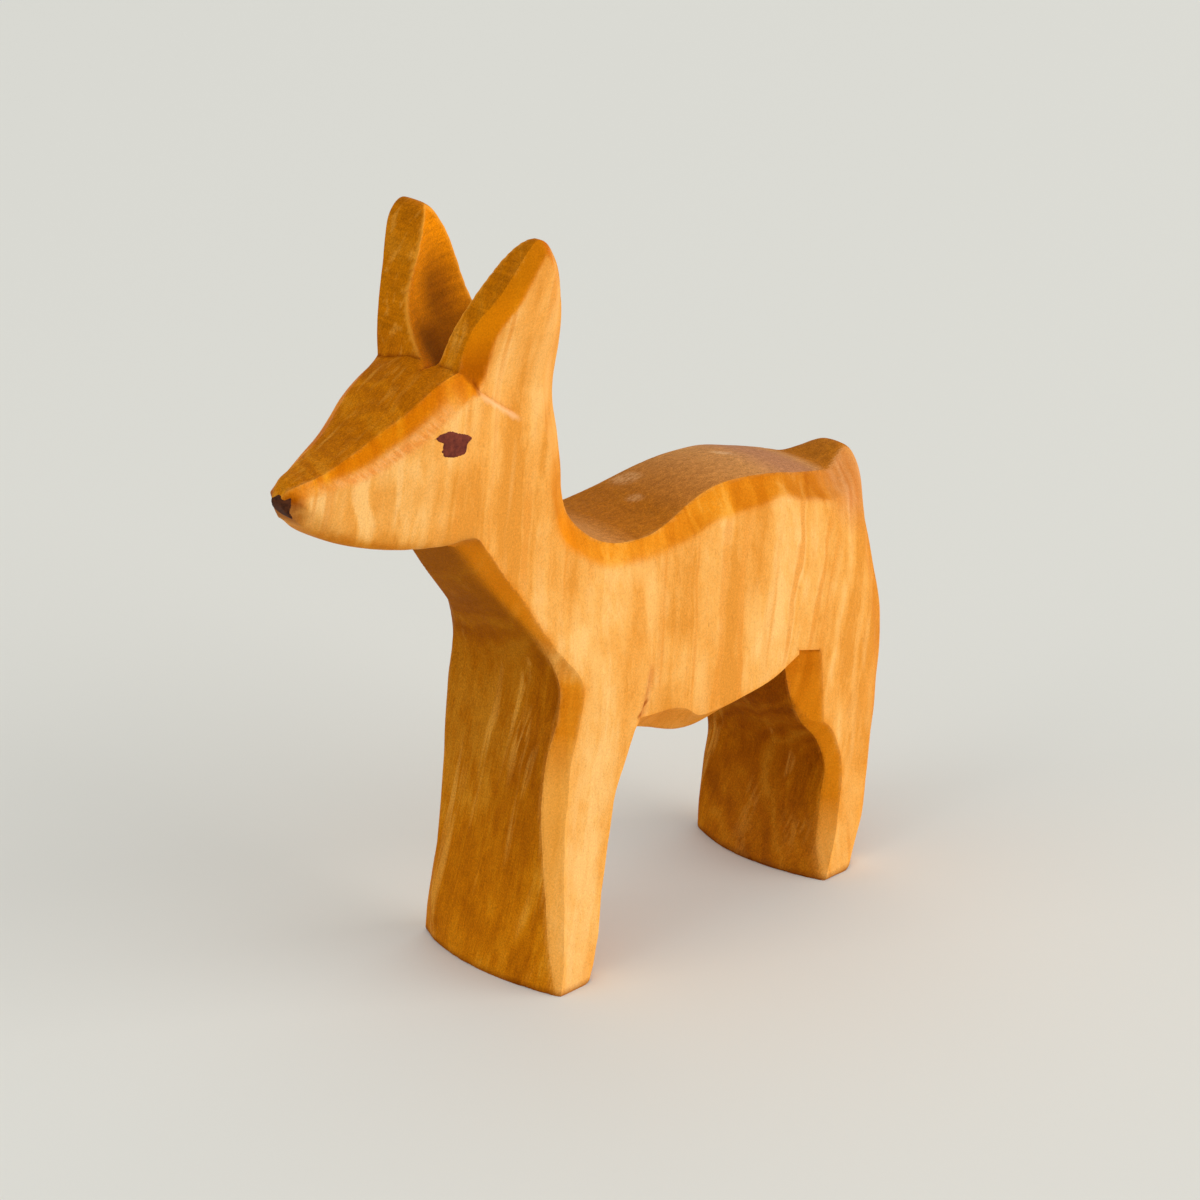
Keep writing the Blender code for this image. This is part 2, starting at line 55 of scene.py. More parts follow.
# name, x, z, half width of the sawn face and reach of its bevel to the left, the same to the right,
# crown of the sawn face across the block, how far it falls back towards the right, second bevel, 1 at a corner
OUTLINE = [
    ("nose", -37.2, 79.6, 0.9, 1.5, 0.9, 1.5, 0.0, 0.0, 0, 0),
    ("", -36.6, 80.9, 1.1, 1.5, 1.1, 1.5, 0.0, 0.0, 0, 0),
    ("", -35.2, 81.8, 2.1, 1.8, 1.7, 1.8, 0.1, 0.0, 0.3, 0),
    ("bridge", -32.4, 82.4, 2.8, 2.0, 2.4, 2.0, 0.2, 0.0, 0.6, 0),
    ("", -28.8, 83.45, 3.3, 2.4, 3.1, 2.4, 0.2, 0.0, 1, 0),
    ("", -24.5, 85.05, 3.9, 2.8, 3.9, 2.8, 0.2, 0.0, 1, 0),
    ("brow", -21.2, 86.85, 4.8, 3.0, 4.9, 3.0, 0.3, 0.0, 1, 0),
    ("", -18.5, 88.4, 5.6, 3.0, 5.6, 3.0, 0.3, -0.25, 1, 0),
    ("", -15.8, 90.15, 6.3, 3.0, 5.9, 3.0, 0.3, -0.3, 0.7, 0),
    ("", -13.2, 91.7, 6.9, 3.1, 6.6, 3.0, 0.3, -0.25, 0.25, 0),
    ("ear_front", -10.6, 92.7, 7.6, 3.3, 7.8, 3.0, 0.3, 0.0, 0, 1),
    ("", -10.1, 96.0, 8.1, 3.0, 8.4, 3.0, 0.1, 0.0, 0, 0),
    ("", -9.1, 98.8, 8.9, 3.0, 9.0, 3.0, 0.1, 0.0, 0, 0),
    ("", -6.9, 102.6, 11.0, 3.2, 10.5, 3.0, 0.1, 0.0, 0, 0),
    ("", -4.8, 106.0, 12.3, 2.8, 11.9, 2.6, 0.1, -0.1, 0, 0),
    ("", -2.75, 108.65, 12.9, 2.2, 12.8, 2.0, 0.1, -0.3, 0, 0),
    ("ear_tip", -0.7, 109.95, 12.7, 1.7, 12.9, 1.5, 0.1, -0.4, 0, 0),
    ("", 1.35, 109.1, 12.4, 1.5, 12.6, 1.5, 0.1, -0.3, 0, 0),
    ("", 3.5, 106.3, 11.8, 1.6, 12.0, 1.6, 0.1, -0.5, 0, 0),
    ("", 5.4, 101.9, 10.9, 2.0, 10.9, 2.0, 0.1, -0.1, 0, 0),
    ("", 6.65, 98.0, 10.0, 2.4, 9.9, 2.4, 0.1, 0.2, 0, 0),
    ("", 7.5, 93.0, 8.8, 3.0, 8.7, 3.0, 0.2, 0.2, 0, 0),
    ("", 7.5, 88.0, 7.7, 3.6, 7.6, 3.6, 0.3, 0.0, 0, 0),
    ("nape", 7.9, 83.5, 7.2, 4.0, 7.2, 4.0, 0.3, 0.0, 0, 0),
    ("", 8.65, 79.0, 7.1, 4.0, 7.1, 4.0, 0.3, 0.0, 0, 0),
    ("", 9.2, 74.7, 7.1, 4.2, 7.1, 4.2, 0.3, 0.0, 0, 0),
    ("", 9.7, 70.0, 7.1, 4.2, 7.1, 4.2, 0.3, 0.0, 0, 0),
    ("withers", 10.8, 66.2, 7.4, 4.0, 7.4, 4.0, 0.4, -0.9, 0, 0),
    ("", 13.0, 63.4, 8.4, 3.0, 8.4, 3.0, 0.6, -1.6, 0, 0),
    ("", 15.8, 61.6, 9.0, 2.6, 9.0, 2.6, 0.7, -1.3, 0, 0),
    ("saddle", 19.5, 60.4, 9.0, 2.6, 9.0, 2.6, 0.7, -0.5, 0, 0),
    ("", 24.5, 59.9, 8.8, 2.8, 8.8, 2.8, 0.7, -0.5, 0, 0),
    ("", 29.5, 60.4, 8.3, 3.0, 8.3, 3.0, 0.7, -0.35, 0, 0),
    ("", 35.0, 61.6, 7.5, 3.2, 7.5, 3.2, 0.7, -0.1, 0, 0),
    ("loin", 41.0, 62.6, 7.0, 3.4, 7.0, 3.4, 0.7, 0.0, 0, 0),
    ("", 47.0, 62.3, 7.2, 3.4, 7.2, 3.4, 0.7, -0.15, 0, 0),
    ("", 53.0, 61.3, 7.3, 3.2, 7.3, 3.2, 0.7, -0.5, 0, 0),
    ("croup", 59.0, 59.7, 7.0, 3.2, 7.0, 3.2, 0.6, -0.5, 0, 0),
    ("", 64.0, 58.3, 5.8, 3.2, 6.2, 3.2, 0.4, -0.5, 0, 0),
    ("tail_dip", 67.3, 57.5, 4.6, 2.8, 5.0, 2.8, 0.2, -0.4, 0, 1),
    ("", 70.2, 58.6, 3.6, 2.3, 3.0, 2.3, 0.3, 0.0, 0, 0),
    ("tail_top", 72.6, 59.25, 2.9, 2.0, 1.8, 2.0, 0.2, 0.0, 0, 0),
    ("", 74.4, 58.1, 3.0, 2.0, 1.8, 2.0, 0.2, 0.0, 0, 0),
    ("", 75.1, 55.0, 4.0, 2.3, 3.2, 2.3, 0.2, 0.0, 0, 0),
    ("", 73.5, 50.5, 6.0, 2.8, 6.2, 2.8, 0.2, 0.0, 0, 0),
    ("rump", 72.35, 45.0, 8.6, 3.0, 8.8, 3.0, 0.2, 0.0, 0, 0),
    ("", 72.6, 39.0, 9.8, 2.6, 9.8, 2.6, 0.2, 0.0, 0, 0),
    ("", 73.0, 31.5, 10.0, 2.4, 10.0, 2.4, 0.2, 0.0, 0, 0),
    ("", 72.05, 23.0, 10.2, 2.2, 10.2, 2.2, 0.2, 0.0, 0, 0),
    ("hock", 70.1, 14.0, 10.8, 2.0, 10.4, 2.0, 0.2, 0.0, 0, 0),
    ("", 67.2, 5.0, 11.9, 2.4, 10.6, 2.4, 0.4, 0.0, 0, 0),
    ("rear_heel", 64.9, SOLE, 12.3, 3.2, 10.6, 2.8, 0.6, 0.0, 0, 1),
    ("rear_toe", 55.6, SOLE, 14.5, 0.35, 11.4, 2.0, 2.6, 1.9, 0, 1),
    ("", 57.4, 4.0, 12.0, 1.3, 11.7, 1.7, 1.5, 0.7, 0, 0),
    ("", 59.5, 9.8, 11.0, 1.6, 11.8, 1.5, 0.7, -0.25, 0, 0),
    ("", 60.2, 15.0, 11.0, 1.7, 11.8, 1.4, 0.4, -0.1, 0, 0),
    ("", 58.4, 19.8, 10.8, 1.8, 11.8, 1.3, 0.3, 0.25, 0, 0),
    ("", 55.6, 23.2, 10.4, 1.8, 11.9, 1.2, 0.2, 0.3, 0, 0),
    ("", 53.9, 27.4, 9.8, 1.8, 11.9, 1.6, 0.2, 0.0, 0, 0),
    ("groin", 53.0, 33.4, 9.4, 1.8, 11.4, 2.4, 0.2, 0.0, 0, 1),
    ("", 47.5, 32.5, 11.0, 0.9, 9.6, 2.2, 0.2, 0.0, 0, 0),
    ("", 41.0, 31.0, 10.6, 1.3, 9.4, 2.0, 0.2, 0.0, 0, 0),
    ("", 34.0, 29.35, 9.8, 2.9, 9.4, 2.4, 0.2, 0.0, 0, 0),
    ("belly", 30.0, 29.5, 9.4, 3.5, 9.4, 2.8, 0.2, 0.0, 0, 0),
    ("", 25.0, 31.25, 9.3, 3.5, 9.4, 2.6, 0.2, 0.0, 0, 0),
    ("armpit", 20.3, 32.9, 9.6, 2.0, 9.6, 2.2, 0.2, 0.0, 0, 1),
    ("", 18.2, 29.0, 10.0, 1.8, 10.0, 2.0, 0.2, 0.0, 0, 0),
    ("", 16.2, 23.0, 10.2, 2.0, 10.2, 2.0, 0.2, 0.0, 0, 0),
    ("", 14.1, 14.5, 10.8, 1.8, 10.8, 1.8, 0.2, 0.0, 0, 0),
    ("", 12.4, 6.0, 11.5, 2.2, 11.4, 1.7, 0.4, 0.0, 0, 0),
    ("front_heel", 10.5, SOLE, 12.0, 3.4, 11.8, 1.6, 0.6, 0.0, 0, 1),
    ("front_toe", 0.6, SOLE, 14.3, 0.35, 11.6, 1.9, 2.0, 1.9, 0, 1),
    ("", 1.6, 6.0, 12.0, 1.5, 11.7, 1.6, 1.1, 0.8, 0, 0),
    ("", 2.5, 17.0, 10.4, 1.8, 11.6, 1.3, 0.5, 1.5, 0, 0),
    ("", 3.1, 26.5, 9.3, 2.2, 11.7, 1.2, 0.3, 1.95, 0, 0),
    ("", 4.3, 33.5, 9.5, 2.3, 11.8, 1.2, 0.2, 1.4, 0, 0),
    ("", 5.8, 39.0, 10.1, 2.2, 11.8, 1.3, 0.2, 0.5, 0, 0),
    ("chest", 5.9, 43.3, 10.3, 2.2, 11.3, 1.4, 0.2, 0.75, 0, 0),
    ("", 3.4, 49.4, 9.6, 0.7, 8.4, 1.9, 0.2, 0.7, 0, 0),
    ("", -2.7, 58.8, 5.4, 1.2, 7.1, 3.0, 0.2, -0.25, 0, 0),
    ("throat", -9.3, 67.5, 4.6, 1.3, 6.2, 2.8, 0.2, -0.25, 0, 1),
    ("", -12.0, 68.35, 7.8, 1.3, 6.6, 2.0, 0.2, 0.0, 0, 0),
    ("", -19.5, 69.5, 7.0, 1.3, 6.2, 2.0, 0.2, 0.0, 0, 0),
    ("jaw", -25.5, 70.9, 5.5, 1.4, 5.2, 2.0, 0.2, 0.0, 0, 0),
    ("", -31.1, 73.15, 3.7, 1.6, 3.6, 2.0, 0.1, 0.0, 0, 0),
    ("", -34.7, 75.95, 2.2, 1.8, 2.2, 1.8, 0.0, 0.0, 0, 0),
    ("", -36.5, 78.1, 1.2, 1.6, 1.2, 1.6, 0.0, 0.0, 0, 0),
]
# x, z, half thickness between the side faces
THICKNESS = [
    (1, 0, 14.9), (9, 0, 14.6), (56, 0, 15.2), (64, 0, 14.8),
    (5, 8, 13.4), (8, 18, 12.5), (10, 30, 12.3), (62, 8, 13.4), (64, 20, 12.5),
    (63, 32, 12.2), (8, 42, 12.4), (14, 45, 12.4),
    (25, 44, 12.4), (42, 44, 12.4), (60, 44, 12.2),
    (20, 55, 10.6), (32, 54, 10.8), (45, 56, 10.8), (58, 53, 10.8), (66, 51, 10.2),
    (71, 56, 6.4),
    (8, 60, 10.2), (2, 58, 10.0), (-4, 61, 9.2), (0, 70, 9.3), (4, 78, 9.5), (-4, 78, 9.6),
    (-5, 88, 9.6), (4, 88, 9.4), (-12, 80, 9.6), (-14, 88, 9.4),
    (-18, 82, 8.9), (-18, 73, 8.6), (-22, 78, 7.9), (-22, 84, 7.6),
    (-26, 77, 6.6), (-31, 77, 5.0), (-35, 78, 3.2), (-37, 79, 2.4),
    (-6, 95, 10.6), (3, 95, 10.4), (-3, 102, 12.6), (2, 102, 12.4), (0, 109, 14.0),
]
# z, x of the ears' front and back, then reach of the gap to the left and right at the front and at the back
EAR_GAP = [
    (60.0, -10.6, 7.5, -60.0, -60.0, -50.0, -50.0),
    (87.5, -10.6, 7.5, -9.0, -4.0, 0.0, 0.0),
    (90.0, -10.6, 7.5, -3.0, -3.2, 2.6, 2.6),
    (92.0, -10.6, 7.5, 2.6, -1.6, 4.4, 4.6),
    (93.0, -10.5, 7.5, 3.9, -0.4, 5.2, 5.6),
    (95.0, -10.2, 7.3, 4.45, 1.05, 6.4, 7.0),
    (97.0, -9.75, 6.9, 5.05, 2.45, 7.3, 7.8),
    (98.8, -9.1, 6.5, 5.6, 3.5, 8.0, 8.3),
    (100.8, -7.95, 5.9, 6.3, 4.3, 8.6, 8.6),
    (102.6, -6.9, 5.2, 6.9, 4.6, 9.2, 8.8),
    (105.0, -5.4, 4.1, 8.0, 4.8, 9.9, 9.3),
    (106.0, -4.8, 3.6, 8.4, 5.1, 10.2, 9.6),
    (107.3, -3.8, 2.8, 9.1, 5.7, 10.6, 9.8),
    (108.65, -2.75, 1.8, 9.9, 6.3, 11.0, 9.7),
    (109.6, -1.2, 0.8, 10.6, 6.7, 11.3, 9.2),
    (111.0, -1.0, 0.8, 11.4, 7.6, 11.8, 9.0),
    (118.0, -1.0, 0.8, 14.0, 14.0, 15.0, 15.0),
]
# the step where the ear is pared back behind the brow and the cheek: three points, depth
EAR_STEP = ((-10.6, 92.7), (-8.7, 89.4), (-0.3, 83.5), 0.75)
# the fold behind the elbow, where the belly is pared back: x, z and depth up the fold
ELBOW = [(18.0, 31.0, 0.0), (18.8, 34.0, 0.55), (19.9, 37.0, 0.6), (20.9, 39.5, 0.5), (21.6, 42.0, 0.38),
         (22.2, 45.0, 0.28), (22.1, 52.0, 0.16), (22.0, 58.0, 0.0)]
# knife facet on the inside of the thigh: x and half width at its front edge, flare, top, bottom
THIGH_CUT = (53.3, 9.5, 0.72, 35.6, 20.5)


def smooth_through(points, per_span):
    """Centripetal curve through the points, without the last one."""
    p = np.asarray(points, float)
    ext = np.vstack([2 * p[0] - p[1], p, 2 * p[-1] - p[-2]])
    out = []
    for i in range(len(p) - 1):
        a, b, c, d = ext[i:i + 4]
        t1 = math.sqrt(max(np.linalg.norm((b - a)[:2]), 1e-6))
        t2 = t1 + math.sqrt(max(np.linalg.norm((c - b)[:2]), 1e-6))
        t3 = t2 + math.sqrt(max(np.linalg.norm((d - c)[:2]), 1e-6))
        t = np.linspace(t1, t2, per_span, endpoint=False)[:, None]
        q1 = (t1 - t) / t1 * a + t / t1 * b
        q2 = (t2 - t) / (t2 - t1) * b + (t - t1) / (t2 - t1) * c
        q3 = (t3 - t) / (t3 - t2) * c + (t - t2) / (t3 - t2) * d
        r1 = (t2 - t) / t2 * q1 + t / t2 * q2
        r2 = (t3 - t) / (t3 - t1) * q2 + (t - t1) / (t3 - t1) * q3
        out.append((t2 - t) / (t2 - t1) * r1 + (t - t1) / (t2 - t1) * r2)
    return np.vstack(out)


def sawn_outline():
    """Closed dense outline: x, z and the seven edge values; the legs go on below the floor."""
    rows = np.array([r[1:10] for r in OUTLINE], float)
    corner = [r[10] for r in OUTLINE]
    first = corner.index(1)
    rows = np.roll(rows, -first, axis=0)
    corner = corner[first:] + corner[:first] + [1]
    rows = np.vstack([rows, rows[:1]])
    dense, start = [], 0
    for i in range(1, len(rows)):
        if not corner[i]:
            continue
        run = np.vstack([smooth_through(rows[start:i + 1], 24), rows[i:i + 1]])
        start = i
        if np.all(np.abs(run[:, 1] - SOLE) < 1e-6):
            below = run[[0, -1]].copy()
            below[:, 1] = SOLE - 4.0
            run = np.vstack([run[:1], below, run[-1:]])
        along = np.concatenate([[0], np.cumsum(np.linalg.norm(np.diff(run[:, :2], axis=0), axis=1))])
        at = np.linspace(0, along[-1], max(2, int(along[-1] / 0.2)) + 1)[:-1]
        dense.append(np.stack([np.interp(at, along, run[:, k]) for k in range(run.shape[1])], axis=1))
    line = np.vstack(dense)
    # the knife never runs quite straight: slow waver of the widths and reaches along the outline
    s = np.arange(len(line)) * 0.2
    waver = lambda a, b, c: np.sin(s / 4.1 + a) + 0.7 * np.sin(s / 2.3 + b) + 0.5 * np.sin(s / 1.27 + c)
    line[:, 2] += 0.09 * waver(0.3, 1.9, 4.2)
    line[:, 3] *= 1 + 0.07 * waver(2.2, 0.6, 5.1)
    line[:, 4] += 0.05 * waver(3.1, 5.2, 1.4)
    line[:, 5] *= 1 + 0.03 * waver(1.1, 3.6, 2.1)
    return line


def side_faces(q):
    """Smooth half thickness at points (n, 2)."""
    rows = np.array(THICKNESS, float)
    at, n = rows[:, :2], len(rows)
    kernel = lambda r: (r * 0.1) ** 3
    plane = np.hstack([np.ones((n, 1)), at])
    system = np.block([[kernel(np.linalg.norm(at[:, None] - at[None], axis=2)), plane],
                       [plane.T, np.zeros((3, 3))]])
    weight = np.linalg.solve(system, np.concatenate([rows[:, 2], np.zeros(3)]))
    out = np.zeros(len(q))
    for k in range(n):
        out += kernel(np.hypot(q[:, 0] - at[k, 0], q[:, 1] - at[k, 1])) * weight[k]
    return out + weight[n] + q @ weight[n + 1:]


def smoothstep(a, b, v):
    t = np.clip((v - a) / (b - a), 0, 1)
    return t * t * (3 - 2 * t)


class Flat:
    """Lookup grids over x and z."""

    def __init__(self):
        self.xs, self.zs = np.arange(-42.0, 80.0, LOOK), np.arange(-3.0, 115.0, LOOK)
        line = sawn_outline()
        n = len(line)
        tree = kdtree.KDTree(n)
        for i, p in enumerate(line):
            tree.insert((p[0], p[1], 0.0), i)
        tree.balance()
        gx, gz = np.meshgrid(self.xs, self.zs, indexing="ij")
        q = np.stack([gx.ravel(), gz.ravel()], axis=1)
        near = np.array([tree.find((a, b, 0.0))[1] for a, b in q])
        best = np.full(len(q), 1e9)
        edge = np.zeros((len(q), 7))
        for other in (near - 1, near):
            a, b = line[other % n], line[(other + 1) % n]
            ab = b[:, :2] - a[:, :2]
            t = np.clip(((q - a[:, :2]) * ab).sum(1) / np.maximum((ab ** 2).sum(1), 1e-9), 0, 1)[:, None]
            d = np.linalg.norm(q - a[:, :2] - t * ab, axis=1)
            m = d < best
            best = np.where(m, d, best)
            edge[m] = (a[:, 2:] + t * (b[:, 2:] - a[:, 2:]))[m]
        # inside test, one grid row at a time
        a, b = line[:, :2], np.roll(line[:, :2], -1, axis=0)
        sign = -np.ones(gx.shape)
        for k, z in enumerate(self.zs):
            hit = (a[:, 1] > z) != (b[:, 1] > z)
            cross = a[hit, 0] + (z - a[hit, 1]) * (b[hit, 0] - a[hit, 0]) / (b[hit, 1] - a[hit, 1])
            sign[np.searchsorted(np.sort(cross), self.xs) % 2 == 1, k] = 1.0
        side = side_faces(q)
        waver = (np.sin(q[:, 0] / 5.3 + 0.4) * np.sin(q[:, 1] / 7.1 + 1.2)
                 + 0.6 * np.sin(q[:, 0] / 2.9 - q[:, 1] / 9.0 + 2.0))
        side = side + 0.09 * waver
        over = []
        for (ax, az), (bx, bz) in zip(EAR_STEP[:2], EAR_STEP[1:3]):
            along = np.array([bx - ax, bz - az])
            length = np.linalg.norm(along)
            rel = q - np.array([ax, az])
            u = rel @ along / length ** 2
            over.append(rel @ np.array([-along[1], along[0]]) / length)
        over = np.minimum(*over)
        step = EAR_STEP[3] * smoothstep(0.0, 0.7, over) * (1 - smoothstep(0.6, 1.05, u)) * (1 - smoothstep(2.0, 11.0, over))
        fold = np.array(ELBOW)
        over = q[:, 0] - np.interp(q[:, 1], fold[:, 1], fold[:, 0])
        deep = np.interp(q[:, 1], fold[:, 1], fold[:, 2])
        side = side - deep * smoothstep(0.0, 0.7, over) * (1 - smoothstep(1.0, 9.0, over))
        # the rear foot spreads less on the right
        trim = 2.1 * smoothstep(14.0, 0.0, q[:, 1]) * smoothstep(40.0, 50.0, q[:, 0])
        table = [best * sign.ravel()] + [edge[:, k] for k in range(7)] + [side, step, trim]
        for reach in self.ear_gap(q):
            dx, dz = np.gradient(reach.reshape(gx.shape), LOOK)
            table += [reach, np.sqrt(1 + dx ** 2 + dz ** 2).ravel()]
        self.table = np.stack(table, axis=1).reshape(gx.shape + (-1,)).astype(np.float32)

    @staticmethod
    def ear_gap(q):
        rows, zs = np.array(EAR_GAP), np.arange(58.0, 120.0, 0.1)
        bell = np.exp(-0.5 * (np.arange(-25, 26) / 7.0) ** 2)
        col = []
        for k in range(1, 7):
            line = np.pad(np.interp(zs, rows[:, 0], rows[:, k]), 25, mode="edge")
            col.append(np.interp(q[:, 1], zs, np.convolve(line, bell / bell.sum(), mode="valid")))
        u = (q[:, 0] - col[0]) / np.maximum(col[1] - col[0], 3.0)
        s = np.where(u < 0, 2 * u, np.where(u > 1, 1.0, 1 - (1 - np.clip(u, 0, 1)) ** 2))
        return col[2] * (1 - s) + col[4] * s, col[3] * (1 - s) + col[5] * s

    def at(self, x, z, y):
        # the crease in front of the ears runs lower towards the right ear
        z = z + 1.3 * smoothstep(0.5, 7.5, y) * np.exp(-((x + 11.5) / 5.0) ** 2 - ((z - 92.3) / 4.5) ** 2)
        i = np.clip((x - self.xs[0]) / LOOK, 0, len(self.xs) - 1.001)
        k = np.clip((z - self.zs[0]) / LOOK, 0, len(self.zs) - 1.001)
        i0, k0 = i.astype(int), k.astype(int)
        u, w = (i - i0)[:, None].astype(np.float32), (k - k0)[:, None].astype(np.float32)
        t = self.table
        v = (t[i0, k0] * (1 - u) + t[i0 + 1, k0] * u) * (1 - w) + (t[i0, k0 + 1] * (1 - u) + t[i0 + 1, k0 + 1] * u) * w
        return np.moveaxis(v, -1, 0).astype(np.float64)


def faces_at(cols, x, y, z):
    """Distances past each carved face: sawn or sole, two bevels, side, ear gap, thigh, sanded edge of the sole."""
    depth, wl, rl, wr, rr, crown, skew, double, side, step, trim, gap_l, steep_l, gap_r, steep_r = cols
    left = y < 0
    ay = np.abs(y)
    wide, reach = np.where(left, wl, wr), np.where(left, rl, rr)
    side = np.maximum(side - np.where(left, step, trim), wide + 0.3)
    depth = depth - skew * np.clip((y + wl) / np.maximum(wl + wr, 1e-3), 0, 1)
    tilt = (side - wide) / reach
    one, two = tilt * (1 + 0.25 * double), tilt * (1 - 0.35 * double)
    sawn = -(depth + crown * np.maximum(0, 1 - (ay / wide) ** 2))
    first = (ay - wide - one * depth) / np.sqrt(1 + one ** 2)
    second = (ay - side - two * (depth - reach)) / np.sqrt(1 + two ** 2)
    flank = ay - side
    gap = np.minimum((y + gap_l) / steep_l, (gap_r - y) / steep_r)
    cx, cw, flare, top, bottom = THIGH_CUT
    thigh = np.minimum((ay - cw - flare * (x - cx)) / math.sqrt(1 + flare ** 2), np.minimum(np.minimum(top - 0.28 * (x - cx) - z, x - cx + 0.8), (z - bottom) * 0.5))
    foot = (np.maximum(np.maximum(sawn, first), np.maximum(second, flank)) + 0.25 - (z - SOLE)) / math.sqrt(2)
    return [np.maximum(sawn, SOLE - z), first, second, flank, gap, thigh, foot]


def uncheckered(f):
    """Fill grid squares whose corners are inside and outside in turn, so that no edge joins four faces."""
    for _ in range(6):
        inner, changed = f < 0, False
        for u, v in ((0, 1), (1, 2), (0, 2)):
            def shifted(i, j):
                cut = [slice(None)] * 3
                cut[u], cut[v] = slice(i, f.shape[u] - 1 + i), slice(j, f.shape[v] - 1 + j)
                return inner[tuple(cut)]
            a, b, c, d = shifted(0, 0), shifted(1, 0), shifted(1, 1), shifted(0, 1)
            for at in np.argwhere((a == c) & (b == d) & (a != b)):
                corners = []
                for i, j in ((0, 0), (1, 0), (1, 1), (0, 1)):
                    at_corner = at.copy()
                    at_corner[u] += i
                    at_corner[v] += j
                    corners.append(tuple(at_corner))
                outer = [k for k in corners if f[k] >= 0]
                if len(outer) == 2:
                    f[min(outer, key=lambda k: f[k])] = -1e-4
                    changed = True
        if not changed:
            break
    return f


def surface(field, lows, counts, step):
    """Sharp-edged quads of the level field = 0, inside where it is negative."""
    axes = [lows[k] + step * np.arange(counts[k]) for k in range(3)]
    gx, gz = np.meshgrid(axes[0], axes[2], indexing="ij")
    f = np.empty(counts)
    for j, y in enumerate(axes[1]):
        f[:, j, :] = field(np.stack([gx.ravel(), np.full(gx.size, y), gz.ravel()], axis=1)).reshape(gx.shape)
    f = uncheckered(f)
    inner = f < 0
    corners = [(i, j, k) for i in (0, 1) for j in (0, 1) for k in (0, 1)]
    count = np.zeros(tuple(n - 1 for n in f.shape), np.uint8)
    for i, j, k in corners:
        count += inner[i:f.shape[0] - 1 + i, j:f.shape[1] - 1 + j, k:f.shape[2] - 1 + k]
    active = (count > 0) & (count < 8)
    cell = np.full(active.shape, -1, np.int64)
    cells = np.argwhere(active)
    cell[tuple(cells.T)] = np.arange(len(cells))

    # where grid lines cross the surface, and which way it faces there
    ata, atb = np.zeros((len(cells), 3, 3)), np.zeros((len(cells), 3))
    total, number = np.zeros((len(cells), 3)), np.zeros(len(cells))
    quads = []
    for axis in range(3):
        u, v = (axis + 1) % 3, (axis + 2) % 3
        lo, hi = [slice(1, -1)] * 3, [slice(1, -1)] * 3
        lo[axis], hi[axis] = slice(0, -1), slice(1, None)
        change = np.argwhere(inner[tuple(lo)] != inner[tuple(hi)])
        change[:, u] += 1
        change[:, v] += 1
        other = change.copy()
        other[:, axis] += 1
        fa, fb = f[tuple(change.T)], f[tuple(other.T)]
        a = np.asarray(lows) + step * change.astype(float)
        ta, tb = np.zeros(len(a)), np.ones(len(a))
        for _ in range(4):
            t = ta + (tb - ta) * np.clip(fa / (fa - fb), 0.05, 0.95)
            p = a.copy()
            p[:, axis] += step * t
            fp = field(p)
            same = (fp < 0) == (fa < 0)
            ta, fa = np.where(same, t, ta), np.where(same, fp, fa)
            tb, fb = np.where(same, tb, t), np.where(same, fb, fp)
        t = ta + (tb - ta) * fa / (fa - fb)
        p = a.copy()
        p[:, axis] += step * t
        normal = np.zeros_like(p)
        for k in range(3):
            d = np.zeros(3)
            d[k] = 0.06
            normal[:, k] = field(p + d) - field(p - d)
        normal /= np.maximum(np.linalg.norm(normal, axis=1, keepdims=True), 1e-9)
        ring = []
        for du, dv in ((-1, -1), (0, -1), (0, 0), (-1, 0)):
            c = change.copy()
            c[:, u] += du
            c[:, v] += dv
            which = cell[tuple(c.T)]
            ring.append(which)
            np.add.at(ata, which, normal[:, :, None] * normal[:, None, :])
            np.add.at(atb, which, normal * (normal * p).sum(1, keepdims=True))
            np.add.at(total, which, p)
            np.add.at(number, which, 1.0)
        ring = np.stack(ring, axis=1)
        flip = ~inner[tuple(change.T)]
        ring[flip] = ring[flip][:, ::-1]
        quads.append(ring)
    centre = total / number[:, None]
    pull = 0.06
    verts = np.linalg.solve(ata + pull * np.eye(3), (atb + pull * centre)[:, :, None])[:, :, 0]
    low = np.asarray(lows) + step * cells
    verts = np.clip(verts, low + 0.02 * step, low + 0.98 * step)
    return verts, np.vstack(quads)


flat = Flat()


def field(p):
    past = faces_at(flat.at(p[:, 0], p[:, 2], p[:, 1]), p[:, 0], p[:, 1], p[:, 2])
    gap = past.pop(4)
    rest = np.max(past, axis=0)
    # the ridges of the ears are rounded over
    return np.maximum(rest, gap) + np.maximum(RIDGE - np.abs(rest - gap), 0) ** 2 / (4 * RIDGE)


def shares(values, soft):
    """Soft choice between faces: values are distances past each face."""
    share = np.exp((values - values.max(0)) / soft)
    return share / share.sum(0)


def faces_of(p):
    return np.stack(faces_at(flat.at(p[:, 0], p[:, 2], p[:, 1]), p[:, 0], p[:, 1], p[:, 2]))


def to_row(p):
    """Design millimetres to the row's metres."""
    return (np.asarray(p) - np.array([MID_X, 0, SOLE])) * MM


def add_piece(name, verts, quads):
    mesh = bpy.data.meshes.new(name)
    mesh.from_pydata(to_row(verts).tolist(), [], quads.tolist())
    mesh.validate()
    mesh.shade_smooth()
    ob = bpy.data.objects.new(name, mesh)
    bpy.context.scene.collection.objects.link(ob)
    return ob


